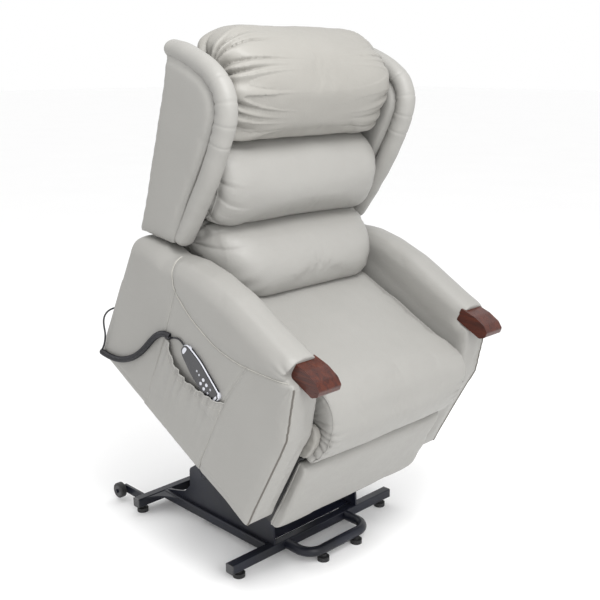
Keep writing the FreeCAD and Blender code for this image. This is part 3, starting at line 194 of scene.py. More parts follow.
def plastic(name, dark, light, rough_low, rough_high, fine=700, coat=0.0):
    n = Nodes(name)
    colour = n.ramp(n.noise(12, 4), [(0.35, dark), (0.7, light)])
    normal = n.bump(n.noise(fine, 2), 0.12, 0.0004)
    return n.finish(colour, n.spread(n.noise(45, 3), rough_low, rough_high), normal, coat=coat)


def mahogany():
    n = Nodes("mahogany")
    along = n.stretched((26, 2.2, 26))
    figure = n.noise(3.0, 6, 0.62, along, 0.9)
    fibre = n.noise(24, 3, 0.5, along)
    colour = n.ramp(figure, [(0.28, (0.024, 0.004, 0.002)), (0.52, (0.058, 0.010, 0.004)),
                             (0.75, (0.095, 0.020, 0.006))])
    normal = n.bump(fibre, 0.10, 0.0006)
    return n.finish(colour, n.spread(fibre, 0.26, 0.36), normal, specular=0.34, coat=0.16)


def plywood():
    n = Nodes("plywood")
    grain = n.noise(5, 5, 0.6, n.stretched((30, 3, 12)), 0.5)
    colour = n.ramp(grain, [(0.3, (0.33, 0.22, 0.12)), (0.7, (0.52, 0.38, 0.23))])
    return n.finish(colour, n.spread(grain, 0.55, 0.7), n.bump(grain, 0.15, 0.0008))


def cloth(name, dark, light):
    n = Nodes(name)
    weave = n.add("ShaderNodeTexWave", wave_type="BANDS", bands_direction="DIAGONAL")
    weave.inputs["Scale"].default_value = 380
    weave.inputs["Distortion"].default_value = 1.5
    n.join(n.place, weave.inputs["Vector"])
    colour = n.ramp(n.noise(50, 4), [(0.3, dark), (0.7, light)])
    return n.finish(colour, n.spread(n.noise(90), 0.75, 0.9), n.bump(weave.outputs["Fac"], 0.3, 0.0006),
                    specular=0.25, sheen=0.3)


def wheel_finish(axle):
    """Black rubber outside, grey nylon hub inside."""
    n = Nodes("wheel_finish")
    shifted = n.add("ShaderNodeVectorMath", operation="SUBTRACT")
    shifted.inputs[1].default_value = axle
    n.join(n.place, shifted.inputs[0])
    flat = n.add("ShaderNodeVectorMath", operation="MULTIPLY")
    flat.inputs[1].default_value = (0, 1, 1)
    n.join(shifted.outputs[0], flat.inputs[0])
    radius = n.add("ShaderNodeVectorMath", operation="LENGTH")
    n.join(flat.outputs[0], radius.inputs[0])
    wobble = n.noise(60, 3)
    added = n.add("ShaderNodeMath", operation="MULTIPLY_ADD")
    added.inputs[1].default_value = 0.002
    n.join(wobble, added.inputs[0])
    n.join(radius.outputs["Value"], added.inputs[2])
    colour = n.ramp(n.spread(added.outputs[0], 0, 1, 0.009, 0.027),
                    [(0.0, (0.05, 0.05, 0.053)), (0.42, (0.045, 0.045, 0.048)), (0.46, (0.012, 0.012, 0.013)),
                     (1.0, (0.020, 0.020, 0.021))])
    return n.finish(colour, n.spread(wobble, 0.45, 0.65), n.bump(n.noise(400), 0.15, 0.0005))


STONE = leather("stone_leather", (0.302, 0.296, 0.280), (0.280, 0.274, 0.258))
GATHERED = leather("gathered_leather", (0.286, 0.277, 0.256), (0.258, 0.249, 0.228), 1.2)
# Dark leather for the arms' front welts: the welt is real, but its dark tone is painted shade for the shadow
# gap along the fold.
SHADE_WELT_LEATHER = leather("welt_leather_painted_shade", (0.125, 0.115, 0.102), (0.095, 0.086, 0.074))
THREAD = cloth("pale_thread", (0.40, 0.39, 0.36), (0.48, 0.47, 0.43))
COAT = powder_coat()
ZINC = zinc()
RUBBER = plastic("black_rubber", (0.010, 0.010, 0.011), (0.020, 0.020, 0.021), 0.5, 0.7, 350)
BLACK = plastic("black_plastic", (0.012, 0.012, 0.015), (0.020, 0.020, 0.024), 0.24, 0.36, 900, 0.3)
CORD = plastic("cord_jacket", (0.005, 0.005, 0.008), (0.010, 0.010, 0.014), 0.36, 0.50, 500)
SILVER = plastic("silver_plastic", (0.50, 0.51, 0.56), (0.62, 0.63, 0.68), 0.20, 0.30, 900, 0.4)
MAHOGANY = mahogany()
PLYWOOD = plywood()
DUST_CLOTH = cloth("black_lining", (0.012, 0.012, 0.013), (0.025, 0.025, 0.027))


def paint(obj, material):
    obj.data.materials.clear()
    obj.data.materials.append(material)


# ---------------------------------------------------------------- mesh tools

def link(name, mesh):
    obj = bpy.data.objects.new(name, mesh)
    scene.collection.objects.link(obj)
    return obj


def mesh_object(name, points, faces):
    mesh = bpy.data.meshes.new(name)
    mesh.from_pydata([tuple(p) for p in points], [], faces)
    mesh.update()
    return link(name, mesh)


def coordinates(obj):
    co = np.empty(len(obj.data.vertices) * 3, np.float32)
    obj.data.vertices.foreach_get("co", co)
    return co.reshape(-1, 3).astype(float)


def normals(obj):
    co = np.empty(len(obj.data.vertices) * 3, np.float32)
    obj.data.vertex_normals.foreach_get("vector", co)
    return co.reshape(-1, 3).astype(float)


def move_to(obj, points):
    obj.data.vertices.foreach_set("co", np.asarray(points, np.float32).ravel())
    obj.data.update()


def bake(obj):
    """Apply the object's modifiers."""
    graph = bpy.context.evaluated_depsgraph_get()
    mesh = bpy.data.meshes.new_from_object(obj.evaluated_get(graph))
    obj.modifiers.clear()
    old = obj.data
    obj.data = mesh
    bpy.data.meshes.remove(old)


def remesh(obj, voxel):
    mod = obj.modifiers.new("remesh", "REMESH")
    mod.mode = "VOXEL"
    mod.voxel_size = voxel
    bake(obj)


def relax(obj, times, weight=None):
    mod = obj.modifiers.new("relax", "SMOOTH")
    mod.factor = 0.5
    mod.iterations = times
    if weight is not None:
        group = obj.vertex_groups.new(name="relax")
        for step in range(1, 11):
            chosen = np.nonzero((weight > (step - 1) / 10) & (weight <= step / 10))[0].tolist()
            if chosen:
                group.add(chosen, step / 10, "REPLACE")
        mod.vertex_group = "relax"
    bake(obj)
    obj.vertex_groups.clear()


def subdivide(obj, levels=1):
    mod = obj.modifiers.new("subdivide", "SUBSURF")
    mod.levels = levels
    mod.render_levels = levels
    bake(obj)


def smooth_shade(obj):
    obj.data.polygons.foreach_set("use_smooth", [True] * len(obj.data.polygons))
    obj.data.update()


def curve_piece(a, b, c, d, per_side):
    """Points of a Catmull-Rom curve from b to just before c."""
    return [0.5 * (2 * b + (c - a) * t + (2 * a - 5 * b + 4 * c - d) * t**2
                   + (3 * b - a - 3 * c + d) * t**3) for t in np.linspace(0, 1, per_side, endpoint=False)]


def smooth_loop(points, per_side=10):
    """A closed curve through the points."""
    points = np.array(points, float)
    made = []
    for i in range(len(points)):
        made += curve_piece(*(points[(i + k) % len(points)] for k in (-1, 0, 1, 2)), per_side)
    return np.array(made)


def smooth_line(points, per_side=10):
    """An open curve through the points."""
    points = np.array(points, float)
    held = np.vstack([2 * points[0] - points[1], points, 2 * points[-1] - points[-2]])
    made = []
    for i in range(1, len(held) - 2):
        made += curve_piece(*held[i - 1:i + 3], per_side)
    made.append(points[-1])
    return np.array(made)


def distances(points):
    """How far along a line each of its points is."""
    return np.concatenate([[0], np.cumsum(np.linalg.norm(np.diff(points, axis=0), axis=1))])


def directions(line):
    """The unit direction of a line at each of its points."""
    ahead = np.gradient(line, axis=0)
    return ahead / np.linalg.norm(ahead, axis=1)[:, None]


def even(points, step):
    """The same line with its points a step apart."""
    points = np.array(points, float)
    along = distances(points)
    places = np.linspace(0, along[-1], max(2, int(round(along[-1] / step)) + 1))
    return np.stack([np.interp(places, along, points[:, k]) for k in range(points.shape[1])], axis=1)


def face_outwards(obj):
    work = bmesh.new()
    work.from_mesh(obj.data)
    bmesh.ops.recalc_face_normals(work, faces=work.faces)
    work.to_mesh(obj.data)
    work.free()


def ring_faces(rings, count, closed=False):
    """Faces over a row of rings with count points each; an open row gets a face at both ends."""
    faces = []
    for i in range(rings if closed else rings - 1):
        low = i * count
        high = (i + 1) % rings * count
        faces += [(low + k, low + (k + 1) % count, high + (k + 1) % count, high + k) for k in range(count)]
    if not closed:
        faces += [tuple(range(count))[::-1], tuple(range((rings - 1) * count, rings * count))]
    return faces


def slab(name, loop, x_low, x_high):
    """A flat-sided block whose side view is the loop."""
    points = [(x, y, z) for x in (x_low, x_high) for y, z in loop]
    obj = mesh_object(name, np.array(points) * MM, ring_faces(2, len(loop)))
    face_outwards(obj)
    return obj


def line_distance(points, line):
    """Distance from each 2-D point to the polyline."""
    line = np.array(line, float)
    best = np.full(len(points), 1e9)
    for a, b in zip(line, line[1:]):
        side = b - a
        t = np.clip(((points - a) @ side) / (side @ side), 0, 1)
        best = np.minimum(best, np.linalg.norm(points - (a + t[:, None] * side), axis=1))
    return best


def step_in(value, low, high):
    """0 below low, 1 above high, smooth between."""
    t = np.clip((value - low) / (high - low), 0, 1)
    return t * t * (3 - 2 * t)


def rumple(points, scale, seed=0.0):
    """Smooth noise at each point, about -1 to 1."""
    shift = Vector((seed, 0.7 * seed, 1.3 * seed))
    return np.array([noise.noise(Vector(p) / scale + shift) for p in points])


def sculpt(obj, shape):
    """Move each point along its normal by what shape(points in mm, normals) says, in mm."""
    points = coordinates(obj)
    facing = normals(obj)
    moved = shape(points / MM, facing)
    move_to(obj, points + facing * moved[:, None] * MM)


def carve(obj, low, high):
    """Cut a box (mm) out of a closed piece."""
    (x0, y0, z0), (x1, y1, z1) = np.minimum(low, high), np.maximum(low, high)
    box = slab("carving", [(y0, z0), (y1, z0), (y1, z1), (y0, z1)], x0, x1)
    cut = obj.modifiers.new("cut", "BOOLEAN")
    cut.operation = "DIFFERENCE"
    cut.object = box
    bake(obj)
    bpy.data.objects.remove(box)


def inflate(obj, pressure, cap):
    """Blow a closed piece up as cloth; no point moves further than cap (mm)."""
    start = coordinates(obj)
    mod = obj.modifiers.new("Cloth", "CLOTH")
    settings = mod.settings
    settings.quality = 4
    settings.mass = 0.3
    settings.tension_stiffness = 12
    settings.compression_stiffness = 12
    settings.shear_stiffness = 5
    settings.bending_stiffness = 0.6
    settings.use_pressure = True
    settings.uniform_pressure_force = pressure
    settings.effector_weights.gravity = 0
    mod.collision_settings.use_collision = False
    mod.collision_settings.use_self_collision = False
    frames = 20
    mod.point_cache.frame_start = 1
    mod.point_cache.frame_end = frames
    scene.frame_start = 1
    scene.frame_end = frames
    for number in range(1, frames + 1):
        scene.frame_set(number)
    graph = bpy.context.evaluated_depsgraph_get()
    blown = bpy.data.meshes.new_from_object(obj.evaluated_get(graph))
    end = np.empty(len(blown.vertices) * 3, np.float32)
    blown.vertices.foreach_get("co", end)
    bpy.data.meshes.remove(blown)
    obj.modifiers.clear()
    scene.frame_set(1)
    way = end.reshape(-1, 3).astype(float) - start
    length = np.linalg.norm(way, axis=1)
    limit = cap * MM
    share = np.where(length > 1e-9, limit * np.tanh(length / limit) / np.maximum(length, 1e-9), 0)
    move_to(obj, start + way * share[:, None])


def settle(obj, body, slot, *replaced, padding=None):
    """Put a finished piece in the row frame on its body."""
    obj.data.transform(SEAT)
    smooth_shade(obj)
    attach(obj, body)
    if replaced:
        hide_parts(*replaced)


def tube(name, points, radius, material, closed=False, sides=8):
    """A round welt along points (mm, seat frame)."""
    points = np.array(points, float)
    ahead = np.roll(points, -1, 0) - np.roll(points, 1, 0)
    if not closed:
        ahead[0] = points[1] - points[0]
        ahead[-1] = points[-1] - points[-2]
    ahead /= np.linalg.norm(ahead, axis=1)[:, None]
    side = np.cross(ahead[0], (0.31, 0.55, 0.77))
    side /= np.linalg.norm(side)
    rings = []
    for place, direction in zip(points, ahead):
        side = side - direction * (side @ direction)
        side /= np.linalg.norm(side)
        up = np.cross(direction, side)
        for k in range(sides):
            turn = 2 * math.pi * k / sides
            rings.append(place + radius * (math.cos(turn) * side + math.sin(turn) * up))
    obj = mesh_object(name, np.array(rings) * MM, ring_faces(len(points), sides, closed))
    paint(obj, material)
    return obj


def surface_tree(obj):
    return BVHTree.FromPolygons([v.co.copy() for v in obj.data.vertices],
                                [tuple(p.vertices) for p in obj.data.polygons])


def laid_on(tree, points, toward, lift=0.3):
    """Points (mm) pushed along a direction onto a surface, then lifted off it."""
    made = []
    way = Vector(toward).normalized()
    run_up = 0.15
    for point in points:
        start = Vector(point) * MM - way * run_up
        spot = tree.ray_cast(start, way)[0]
        if spot is not None:
            made.append(np.array(spot - way * lift * MM) / MM)
    return np.array(made)


def nearest_on(tree, points, lift=0.3):
    """Points (mm) moved to the closest spot of a surface, then lifted off it."""
    made = []
    for point in points:
        spot, facing = tree.find_nearest(Vector(point) * MM)[:2]
        made.append(np.array(spot + facing * lift * MM) / MM)
    return np.array(made)


def joined(name, pieces):
    """One object made of several."""
    whole = bmesh.new()
    for piece in pieces:
        whole.from_mesh(piece.data)
    mesh = bpy.data.meshes.new(name)
    whole.to_mesh(mesh)
    whole.free()
    obj = link(name, mesh)
    for material in pieces[0].data.materials:
        obj.data.materials.append(material)
    for piece in pieces:
        bpy.data.objects.remove(piece)
    return obj


def stitches(name, lines, body, length=3.4, gap=1.5, radius=0.42):
    """Short raised threads along lines that already lie on the surface."""
    made = []
    for line in lines:
        line = even(line, 1.0)
        period = int(length + gap)
        for start in range(0, len(line) - int(length) - 1, period):
            bit = line[start:start + int(length) + 1]
            made.append(tube(f"{name}_{len(made)}", bit, radius, THREAD, sides=5))
    settle(joined(name, made), body, "leather")


def ribbon_seam(name, lines, body, radius, material=SHADE_WELT_LEATHER):
    """A thin raised welt along lines that already lie on the surface."""
    made = [tube(f"{name}_{i}", even(line, 3.0), radius, material)
            for i, line in enumerate(lines)]
    whole = joined(name, made) if len(made) > 1 else made[0]
    whole.name = name
    settle(whole, body, "leather")


# ---------------------------------------------------------------- arms

ARM = [(697, -6), (-1, -6), (-7, 298), (44, 482), (68, 491), (197, 495), (297, 499), (395, 491), (473, 474),
       (548, 442), (600, 438), (650, 422), (693, 402)]
ARM_IN, ARM_OUT = 287, 381
KNUCKLE_NOTCH = (270, -30, 440), (400, 71, 520)
SEAM_TOP = [(543, 456), (505, 409), (473, 379), (390, 357), (297, 352), (230, 363), (179, 380), (110, 410),
            (52, 436)]
SEAM_REAR = [(478, 382), (470, 310), (463, 236), (456, 120), (452, 6)]
SEAM_FRONT = [(179, 380), (196, 300), (209, 222), (207, 120), (205, 6)]


def round_top(x, y, z):
    """The arm's top edges rounded, broadly outside and more tightly inside."""
    top = np.interp(y, [44, 68, 197, 297, 395, 473, 548, 600, 650, 697],
                    [482, 491, 495, 499, 491, 474, 442, 438, 422, 401])
    for edge, sign, radius in ((ARM_OUT, 1, 52), (ARM_IN, -1, 30)):
        across = sign * (x - edge) + radius
        up = z - top + radius
        length = np.hypot(across, up)
        corner = (across > 0) & (up > 0) & (length > radius)
        share = np.where(corner, radius / np.maximum(length, 1e-6), 1)
        x = np.where(corner, edge + sign * (across * share - radius), x)
        z = np.where(corner, top - radius + up * share, z)
    return x, z


def arm(side):
    loop = even(np.vstack([ARM, ARM[:1]]), 6)[:-1]
    name = "left" if side > 0 else "right"
    piece = slab(f"arm_{name}_cover", loop, ARM_IN * side, ARM_OUT * side)
    carve(piece, *(np.array(corner) * (side, 1, 1) for corner in KNUCKLE_NOTCH))
    remesh(piece, 0.0062)
    points = coordinates(piece) / MM
    points[:, 0], points[:, 2] = round_top(points[:, 0] * side, points[:, 1], points[:, 2])
    points[:, 0] *= side
    move_to(piece, points * MM)
    relax(piece, 30, 0.04 + 0.30 * step_in(points[:, 2], 380, 430) * step_in(points[:, 1], 84, 130))
    inflate(piece, 2.5, 4)
    relax(piece, 2)
    subdivide(piece)

    def shape(p, facing):
        flat = p[:, 1:]
        outside = step_in(facing[:, 0] * side, 0.2, 0.7)
        moved = np.zeros(len(p))
        upper = line_distance(flat, SEAM_TOP)
        # The panel above the top seam stands proud.
        above = step_in(p[:, 2] - np.interp(p[:, 1], [41, 110, 179, 297, 390, 473, 543],
                                            [446, 410, 380, 352, 357, 379, 456]), -8, 26)
        above *= step_in(p[:, 1], 45, 90) * (1 - step_in(p[:, 1], 500, 560))
        moved += 5.0 * above * outside
        moved -= 1.1 * np.exp(-(upper / 3.6) ** 2) * outside
        for seam in (SEAM_REAR, SEAM_FRONT):
            gap = line_distance(flat, seam)
            moved -= 1.8 * np.exp(-(gap / 3.2) ** 2) * outside
            moved += 1.0 * np.exp(-((gap - 12) / 8) ** 2) * outside
        moved += 1.1 * rumple(p * (1, 1.0, 0.55), 75, 3.1) * outside
        edge = line_distance(flat, [(695, 0), (0, 0)])
        moved -= 1.6 * np.exp(-((edge - 24) / 4) ** 2) * outside * step_in(p[:, 1], 20, 60)
        # Creases drawn towards the knuckle.
        tug = np.exp(-(np.hypot(p[:, 1] - 52, p[:, 2] - 452) / 46) ** 2)
        angle = np.arctan2(p[:, 2] - 446, p[:, 1] - 40)
        moved += 2.2 * tug * np.sin(angle * 13 + 2 * np.sin(angle * 4)) * outside
        # The inner face, with a soft fold beside the seat cushion.
        inner = step_in(-facing[:, 0] * side, 0.2, 0.7)
        moved += 1.4 * inner * rumple(p, 110, 8.0)
        return moved - 1.4 * inner * np.exp(-((p[:, 2] - 385 - 0.04 * p[:, 1]) / 20) ** 2)

    sculpt(piece, shape)
    paint(piece, STONE)
    tree = surface_tree(piece)
    toward = (-side, 0, 0)
    clear = side * 430
    rows = []
    for seam, offsets in ((SEAM_TOP, (3.6,)), (SEAM_REAR, (3.2, -3.2)), (SEAM_FRONT, (3.2, -3.2))):
        line = even(smooth_line(seam, 8), 2.0)
        ahead = directions(line)
        across = np.stack([-ahead[:, 1], ahead[:, 0]], axis=1)
        for offset in offsets:
            shifted = line + across * offset
            flat = [(clear, y, z) for y, z in shifted if 5 < y < 690]
            rows.append(laid_on(tree, flat, toward, 0.15))
    top = even(smooth_line(SEAM_TOP, 8), 2.5)
    welt = laid_on(tree, [(clear, y, z) for y, z in top if y > 52], toward, 0.8)
    facing_line = [(2, -5, 2), (1, -9, 150), (1, -12, 296), (1, 12, 376), (1, 32, 436)]
    fold_line = [(side * (379 - dx), y, z) for dx, y, z in facing_line]
    fold_line = nearest_on(tree, even(smooth_line(fold_line, 10), 2.5), 0.2)
    edge_row = nearest_on(tree, fold_line + (side * -5.5, 0, 0), 0.15)
    settle(piece, "seat", "leather", f"arm_{name}", padding=0.8)
    ribbon_seam(f"arm_{name}_top_welt", [welt], "seat", 1.3, THREAD)
    # This welt takes the default dark welt leather, which is painted shade for the shadow gap at the front
    # fold.
    ribbon_seam(f"arm_{name}_front_welt_painted_shade", [fold_line], "seat", 2.3)
    stitches(f"arm_{name}_stitching", rows + [edge_row], "seat")


for side in (-1, 1):
    arm(side)


# ---------------------------------------------------------------- wings

WING = [(706, 403), (700, 404), (640, 425), (586, 444), (576, 449), (567, 466), (568, 586), (560, 709),
        (563, 815), (580, 852), (612, 880), (655, 892), (745, 890), (790, 868), (783, 859)]
ROLL = [(562, 458), (554, 520), (548, 586), (541, 650), (539, 709), (541, 780), (548, 828), (566, 864),
        (598, 888), (645, 899), (700, 898), (755, 890), (808, 876)]
WING_IN, WING_OUT = 304, 352
ROLL_WIDE = [20, 23, 26, 27, 27, 27, 27, 27, 27, 26, 26, 25, 22]
ROLL_SEAMS = [0.46, 0.535, 0.61, 0.69]


def wing(side):
    name = "left" if side > 0 else "right"
    loop = even(smooth_loop(WING, 5), 6)
    panel = slab(f"wing_{name}_panel", loop, WING_IN * side, WING_OUT * side)
    remesh(panel, 0.0062)
    relax(panel, 5)
    inflate(panel, 2.5, 4)
    relax(panel, 3)
    subdivide(panel)

    def shape(p, facing):
        outside = step_in(np.abs(facing[:, 0]), 0.3, 0.8)
        moved = 1.2 * outside * rumple(p, 90, 5.0 + side)
        gap = line_distance(p[:, 1:], ROLL)
        moved -= 3.0 * np.exp(-((gap - 24) / 9) ** 2) * outside
        return moved

    sculpt(panel, shape)
    paint(panel, STONE)
    settle(panel, "back", "leather", f"wing_{name}", padding=0.7)

    spacing = 3.0
    line = even(smooth_line(ROLL, 10), spacing)
    count = len(line)
    length = count * spacing
    share = np.linspace(0, 1, count)
    ahead = directions(line)
    across = np.stack([-ahead[:, 1], ahead[:, 0]], axis=1)
    half = np.interp(share, np.linspace(0, 1, len(ROLL_WIDE)), ROLL_WIDE)
    ends = np.minimum(share, 1 - share) * length
    rounding = np.sqrt(np.clip(1 - (1 - np.clip(ends / 22, 0, 1)) ** 2, 0.0025, 1))
    middle = (WING_IN + WING_OUT) / 2
    sides = 40
    points = []
    for i in range(count):
        for k in range(sides):
            turn = 2 * math.pi * k / sides
            out, up = math.cos(turn), math.sin(turn)
            pinch = sum(math.exp(-((share[i] - s) * length / 2.6) ** 2) for s in ROLL_SEAMS)
            swell = sum(math.exp(-((share[i] - s) * length / 14) ** 2) for s in ROLL_SEAMS)
            bend = math.exp(-((share[i] - 0.57) / 0.13) ** 2)
            inner = max(0.0, -up)
            crease = bend * inner * 1.3 * math.sin(share[i] * length / 4.2 + 1.5 * out)
            soft = 1.3 * noise.noise(Vector((line[i][0], line[i][1], 40 * out + 31 * side)) / 42)
            grow = rounding[i] * (1 - 0.050 * pinch + 0.012 * swell + (crease + soft) / 26)
            x = middle + 27 * out * grow
            y, z = line[i] + across[i] * up * half[i] * grow
            points.append((side * x, y, z))
    roll = mesh_object(f"wing_{name}_roll", np.array(points) * MM, ring_faces(count, sides))
    face_outwards(roll)
    subdivide(roll)
    paint(roll, STONE)
    settle(roll, "back", "leather", padding=0.9)


for side in (-1, 1):
    wing(side)


# ---------------------------------------------------------------- pillows

def pillow(name, outline, half, dome, anchor, squeeze, voxel=0.0058):
    """A stuffed roll: the outline carried along X, drawn in towards the anchor at its two ends."""
    loop = even(smooth_loop(outline, 8), 7)
    anchor = np.array(anchor, float)
    squeeze = np.array(squeeze, float)
    stations = []
    for t in np.concatenate([np.linspace(-1, -0.6, 14), np.linspace(-0.5, 0.5, 11), np.linspace(0.6, 1, 14)]):
        into = max(0.0, (abs(t) * half - (half - dome)) / dome)
        scale = squeeze + (1 - squeeze) * math.sqrt(max(0.0, 1 - into ** 2.2))
        stations.append((t * half, scale))
    points = [(x, *(anchor + (p - anchor) * s)) for x, s in stations for p in loop]
    obj = mesh_object(name, np.array(points) * MM, ring_faces(len(stations), len(loop)))
    face_outwards(obj)
    remesh(obj, voxel)
    relax(obj, 3)
    return obj


def pleats(p, centre, half, count, depth, reach, seed):
    """Folds that fan out from the gathered ends."""
    angle = np.arctan2(p[:, 2] - centre[1], p[:, 1] - centre[0])
    from_end = half - np.abs(p[:, 0])
    side = np.sign(p[:, 0])
    wander = 0.35 * np.sin(3 * angle + seed) + 0.25 * np.sin(7 * angle + 2.3 * seed + side)
    wander += 0.0035 * from_end * np.sin(5 * angle + seed)
    phase = count * (angle + wander * 0.5) / 2
    ridge = np.abs(np.sin(phase)) ** 0.75
    longness = reach * (0.62 + 0.38 * np.sin(phase.round() * 2.4 + seed * 1.7 + side))
    fade = np.exp(-(np.clip(from_end, 0, None) / longness) ** 2)
    return depth * (ridge - 0.72) * fade


def head_pillow():
    outline = [(697, 742), (640, 735), (600, 730), (574, 737), (562, 760), (562, 830), (571, 890), (606, 934),
               (664, 960), (734, 969), (780, 950), (798, 920), (790, 897), (755, 890), (722, 886)]
    half = 290
    obj = pillow("head_pillow_cover", outline, half, 118, (700, 764), (0.66, 0.66))
    inflate(obj, 3.0, 7)
    subdivide(obj)

    def shape(p, facing):
        front = step_in(-p[:, 1], -790, -700)
        moved = pleats(p, (680, 850), half, 15, 23.0, 118, 1.3) * (0.25 + 0.75 * front)
        moved *= 1 - 0.45 * step_in(p[:, 0], 40, 200)
        moved += 2.2 * rumple(p, 95, 4.0) + 0.7 * rumple(p, 32, 9.0)
        end = np.exp(-((half - np.abs(p[:, 0])) / 10) ** 2)
        return moved - 3 * end

    sculpt(obj, shape)
    relax(obj, 1)
    paint(obj, GATHERED)
    settle(obj, "back", "leather", "head_pillow", padding=0.85)


def middle_pillow():
    outline = [(657, 529), (600, 525), (532, 524), (500, 540), (488, 572), (487, 610), (500, 660), (534, 696),
               (580, 714), (640, 722), (690, 724)]
    half = 291
    welt_place = half - 4
    obj = pillow("middle_pillow_cover", outline, half, 80, (640, 600), (0.58, 0.86))
    inflate(obj, 3.0, 7)
    subdivide(obj)

    def shape(p, facing):
        moved = 1.8 * rumple(p, 100, 6.0) + 0.5 * rumple(p, 30, 2.0)
        moved += pleats(p, (640, 640), half, 11, 5.0, 50, 2.1)
        end = np.abs(np.abs(p[:, 0]) - welt_place)
        front = step_in(-p[:, 1], -640, -560)
        return moved - 2.2 * np.exp(-(end / 3.6) ** 2) * front

    sculpt(obj, shape)
    paint(obj, STONE)
    tree = surface_tree(obj)
    end_line = [(640, 712), (600, 706), (565, 690), (548, 655), (540, 610), (540, 565), (560, 535),
                (600, 530)]
    rows = []
    for side in (-1, 1):
        ring = [(side * welt_place, y, z) for y, z in smooth_line(end_line, 8)]
        rows.append(nearest_on(tree, even(ring, 2.5), 0.5))
    settle(obj, "back", "leather", "middle_pillow", padding=0.8)
    ribbon_seam("middle_pillow_welts", rows, "back", 1.5, STONE)


def lumbar_pillow():
    outline = [(632, 392), (560, 386), (440, 386), (384, 391), (359, 404), (357, 434), (372, 466), (404, 496),
               (464, 519), (560, 523), (655, 521), (645, 460)]
    half = 276
    obj = pillow("lumbar_pillow_cover", outline, half, 130, (620, 430), (0.50, 0.86))
    inflate(obj, 3.0, 7)
    subdivide(obj)

    def shape(p, facing):
        moved = 1.9 * rumple(p, 105, 7.0) + 0.5 * rumple(p, 32, 5.0)
        moved += pleats(p, (590, 440), half, 13, 4.0, 60, 0.4)
        for side in (-1, 1):
            low = np.hypot(np.abs(p[:, 0] - side * 262) * 0.8, p[:, 2] - 404)
            across = p[:, 0] * side * 0.6 + p[:, 2] * 0.8
            creases = np.exp(-(low / 46) ** 2) * np.sin(across / 5.6)
            moved += 2.8 * creases * step_in(-p[:, 1], -470, -400)
        return moved

    sculpt(obj, shape)
    paint(obj, STONE)
    settle(obj, "back", "leather", "lumbar_pillow", padding=0.8)


head_pillow()
middle_pillow()
lumbar_pillow()


# ---------------------------------------------------------------- seat cushion and leg rest

def seat_cushion():
    outline = [(540, 256), (300, 256), (60, 256), (30, 250), (26, 226), (18, 196), (-4, 187), (-26, 200),
               (-38, 240), (-41, 290), (-36, 338), (-14, 368), (30, 382), (120, 386), (300, 384), (450, 376),
               (532, 366), (543, 320)]
    loop = even(smooth_loop(outline, 8), 7)
    half = 270
    obj = slab("seat_cushion_cover", loop, -half, half)
    remesh(obj, 0.0062)
    relax(obj, 26)
    inflate(obj, 3.2, 12)
    subdivide(obj)

    def shape(p, facing):
        moved = 2.0 * rumple(p, 130, 1.0) + 0.5 * rumple(p, 34, 3.0)
        crown = np.clip(1 - (p[:, 0] / 262) ** 2, 0, 1)
        moved += 5.0 * crown * step_in(p[:, 2], 330, 385)
        front = step_in(-p[:, 1], -60, 0)
        from_end = half - np.abs(p[:, 0])
        angle = np.arctan2(p[:, 2] - 285, -(p[:, 1] - 60))
        folds = np.abs(np.sin(angle * 13 + 0.8 * np.sin(angle * 5) + np.sign(p[:, 0]))) ** 0.7 - 0.68
        reach = 40 + 16 * np.sin(angle * 6)
        low = 1 - step_in(p[:, 2], 300, 350)
        gathered = folds * np.exp(-(np.clip(from_end, 0, None) / reach) ** 2)
        moved += 7.0 * gathered * front * (0.15 + 0.85 * low)
        return moved

    sculpt(obj, shape)
    paint(obj, STONE)
    tree = surface_tree(obj)
    end_line = [(20, 190), (-10, 184), (-32, 202), (-44, 250), (-44, 300), (-34, 345), (0, 378), (60, 388),
                (200, 390), (400, 386)]
    rows = []
    for side in (-1, 1):
        ring = [(side * (half - 2), y, z) for y, z in smooth_line(end_line, 8)]
        rows.append(nearest_on(tree, even(ring, 2.5), 0.2))
    settle(obj, "seat", "leather", "seat_cushion", padding=0.85)
    ribbon_seam("seat_cushion_welts", rows, "seat", 1.6, STONE)


def side_bolsters():
    """The small folds of leather that close the seat box between the roll and each arm."""
    made = []
    for side in (-1, 1):
        loop = smooth_loop([(-8, 214), (-18, 246), (-16, 284), (2, 306), (26, 296), (30, 240), (20, 212)], 6)
        piece = slab(f"bolster_{side}", even(loop, 5), side * 264, side * 285)
        remesh(piece, 0.0035)
        relax(piece, 6)
        sculpt(piece, lambda p, facing: 1.6 * rumple(p, 14, 2.0) + 1.0 * np.sin(p[:, 2] / 4.5))
        made.append(piece)
    paint(made[0], GATHERED)
    settle(joined("seat_box_corners", made), "seat", "leather", padding=0.5)


def leg_pad():
    outline = [(12, -54), (12, 184), (-6, 184), (-17, 176), (-20, 150), (-21, 60), (-20, -20), (-16, -46),
               (-4, -56)]
    loop = even(np.vstack([outline, outline[:1]]), 6)[:-1]
    half = 274
    obj = slab("legrest_cover", loop, -half, half)
    remesh(obj, 0.0058)
    relax(obj, 5)
    inflate(obj, 2.4, 5)
    subdivide(obj)

    def shape(p, facing):
        front = step_in(-facing[:, 1], 0.2, 0.8)
        crown = np.clip(1 - (p[:, 0] / half) ** 2, 0, 1) * np.clip(1 - ((p[:, 2] - 60) / 125) ** 2, 0, 1)
        return 4.0 * crown * front + 1.3 * rumple(p, 90, 2.0) * front

    sculpt(obj, shape)
    paint(obj, STONE)
    tree = surface_tree(obj)
    left_edge = [(half, 4, 182), (half, 4, 60), (half, 4, -36), (268, 4, -52), (240, 4, -56)]
    edge = [(-x, y, z) for x, y, z in left_edge] + [(0, 4, -57)] + left_edge[::-1]
    welt = nearest_on(tree, even(smooth_line(edge, 8), 2.5), 0.4)
    settle(obj, "leg_board", "leather", "legrest_pad", padding=0.7)
    ribbon_seam("legrest_welt", [welt], "leg_board", 1.8, STONE)


seat_cushion()
side_bolsters()
leg_pad()


# ---------------------------------------------------------------- outer back

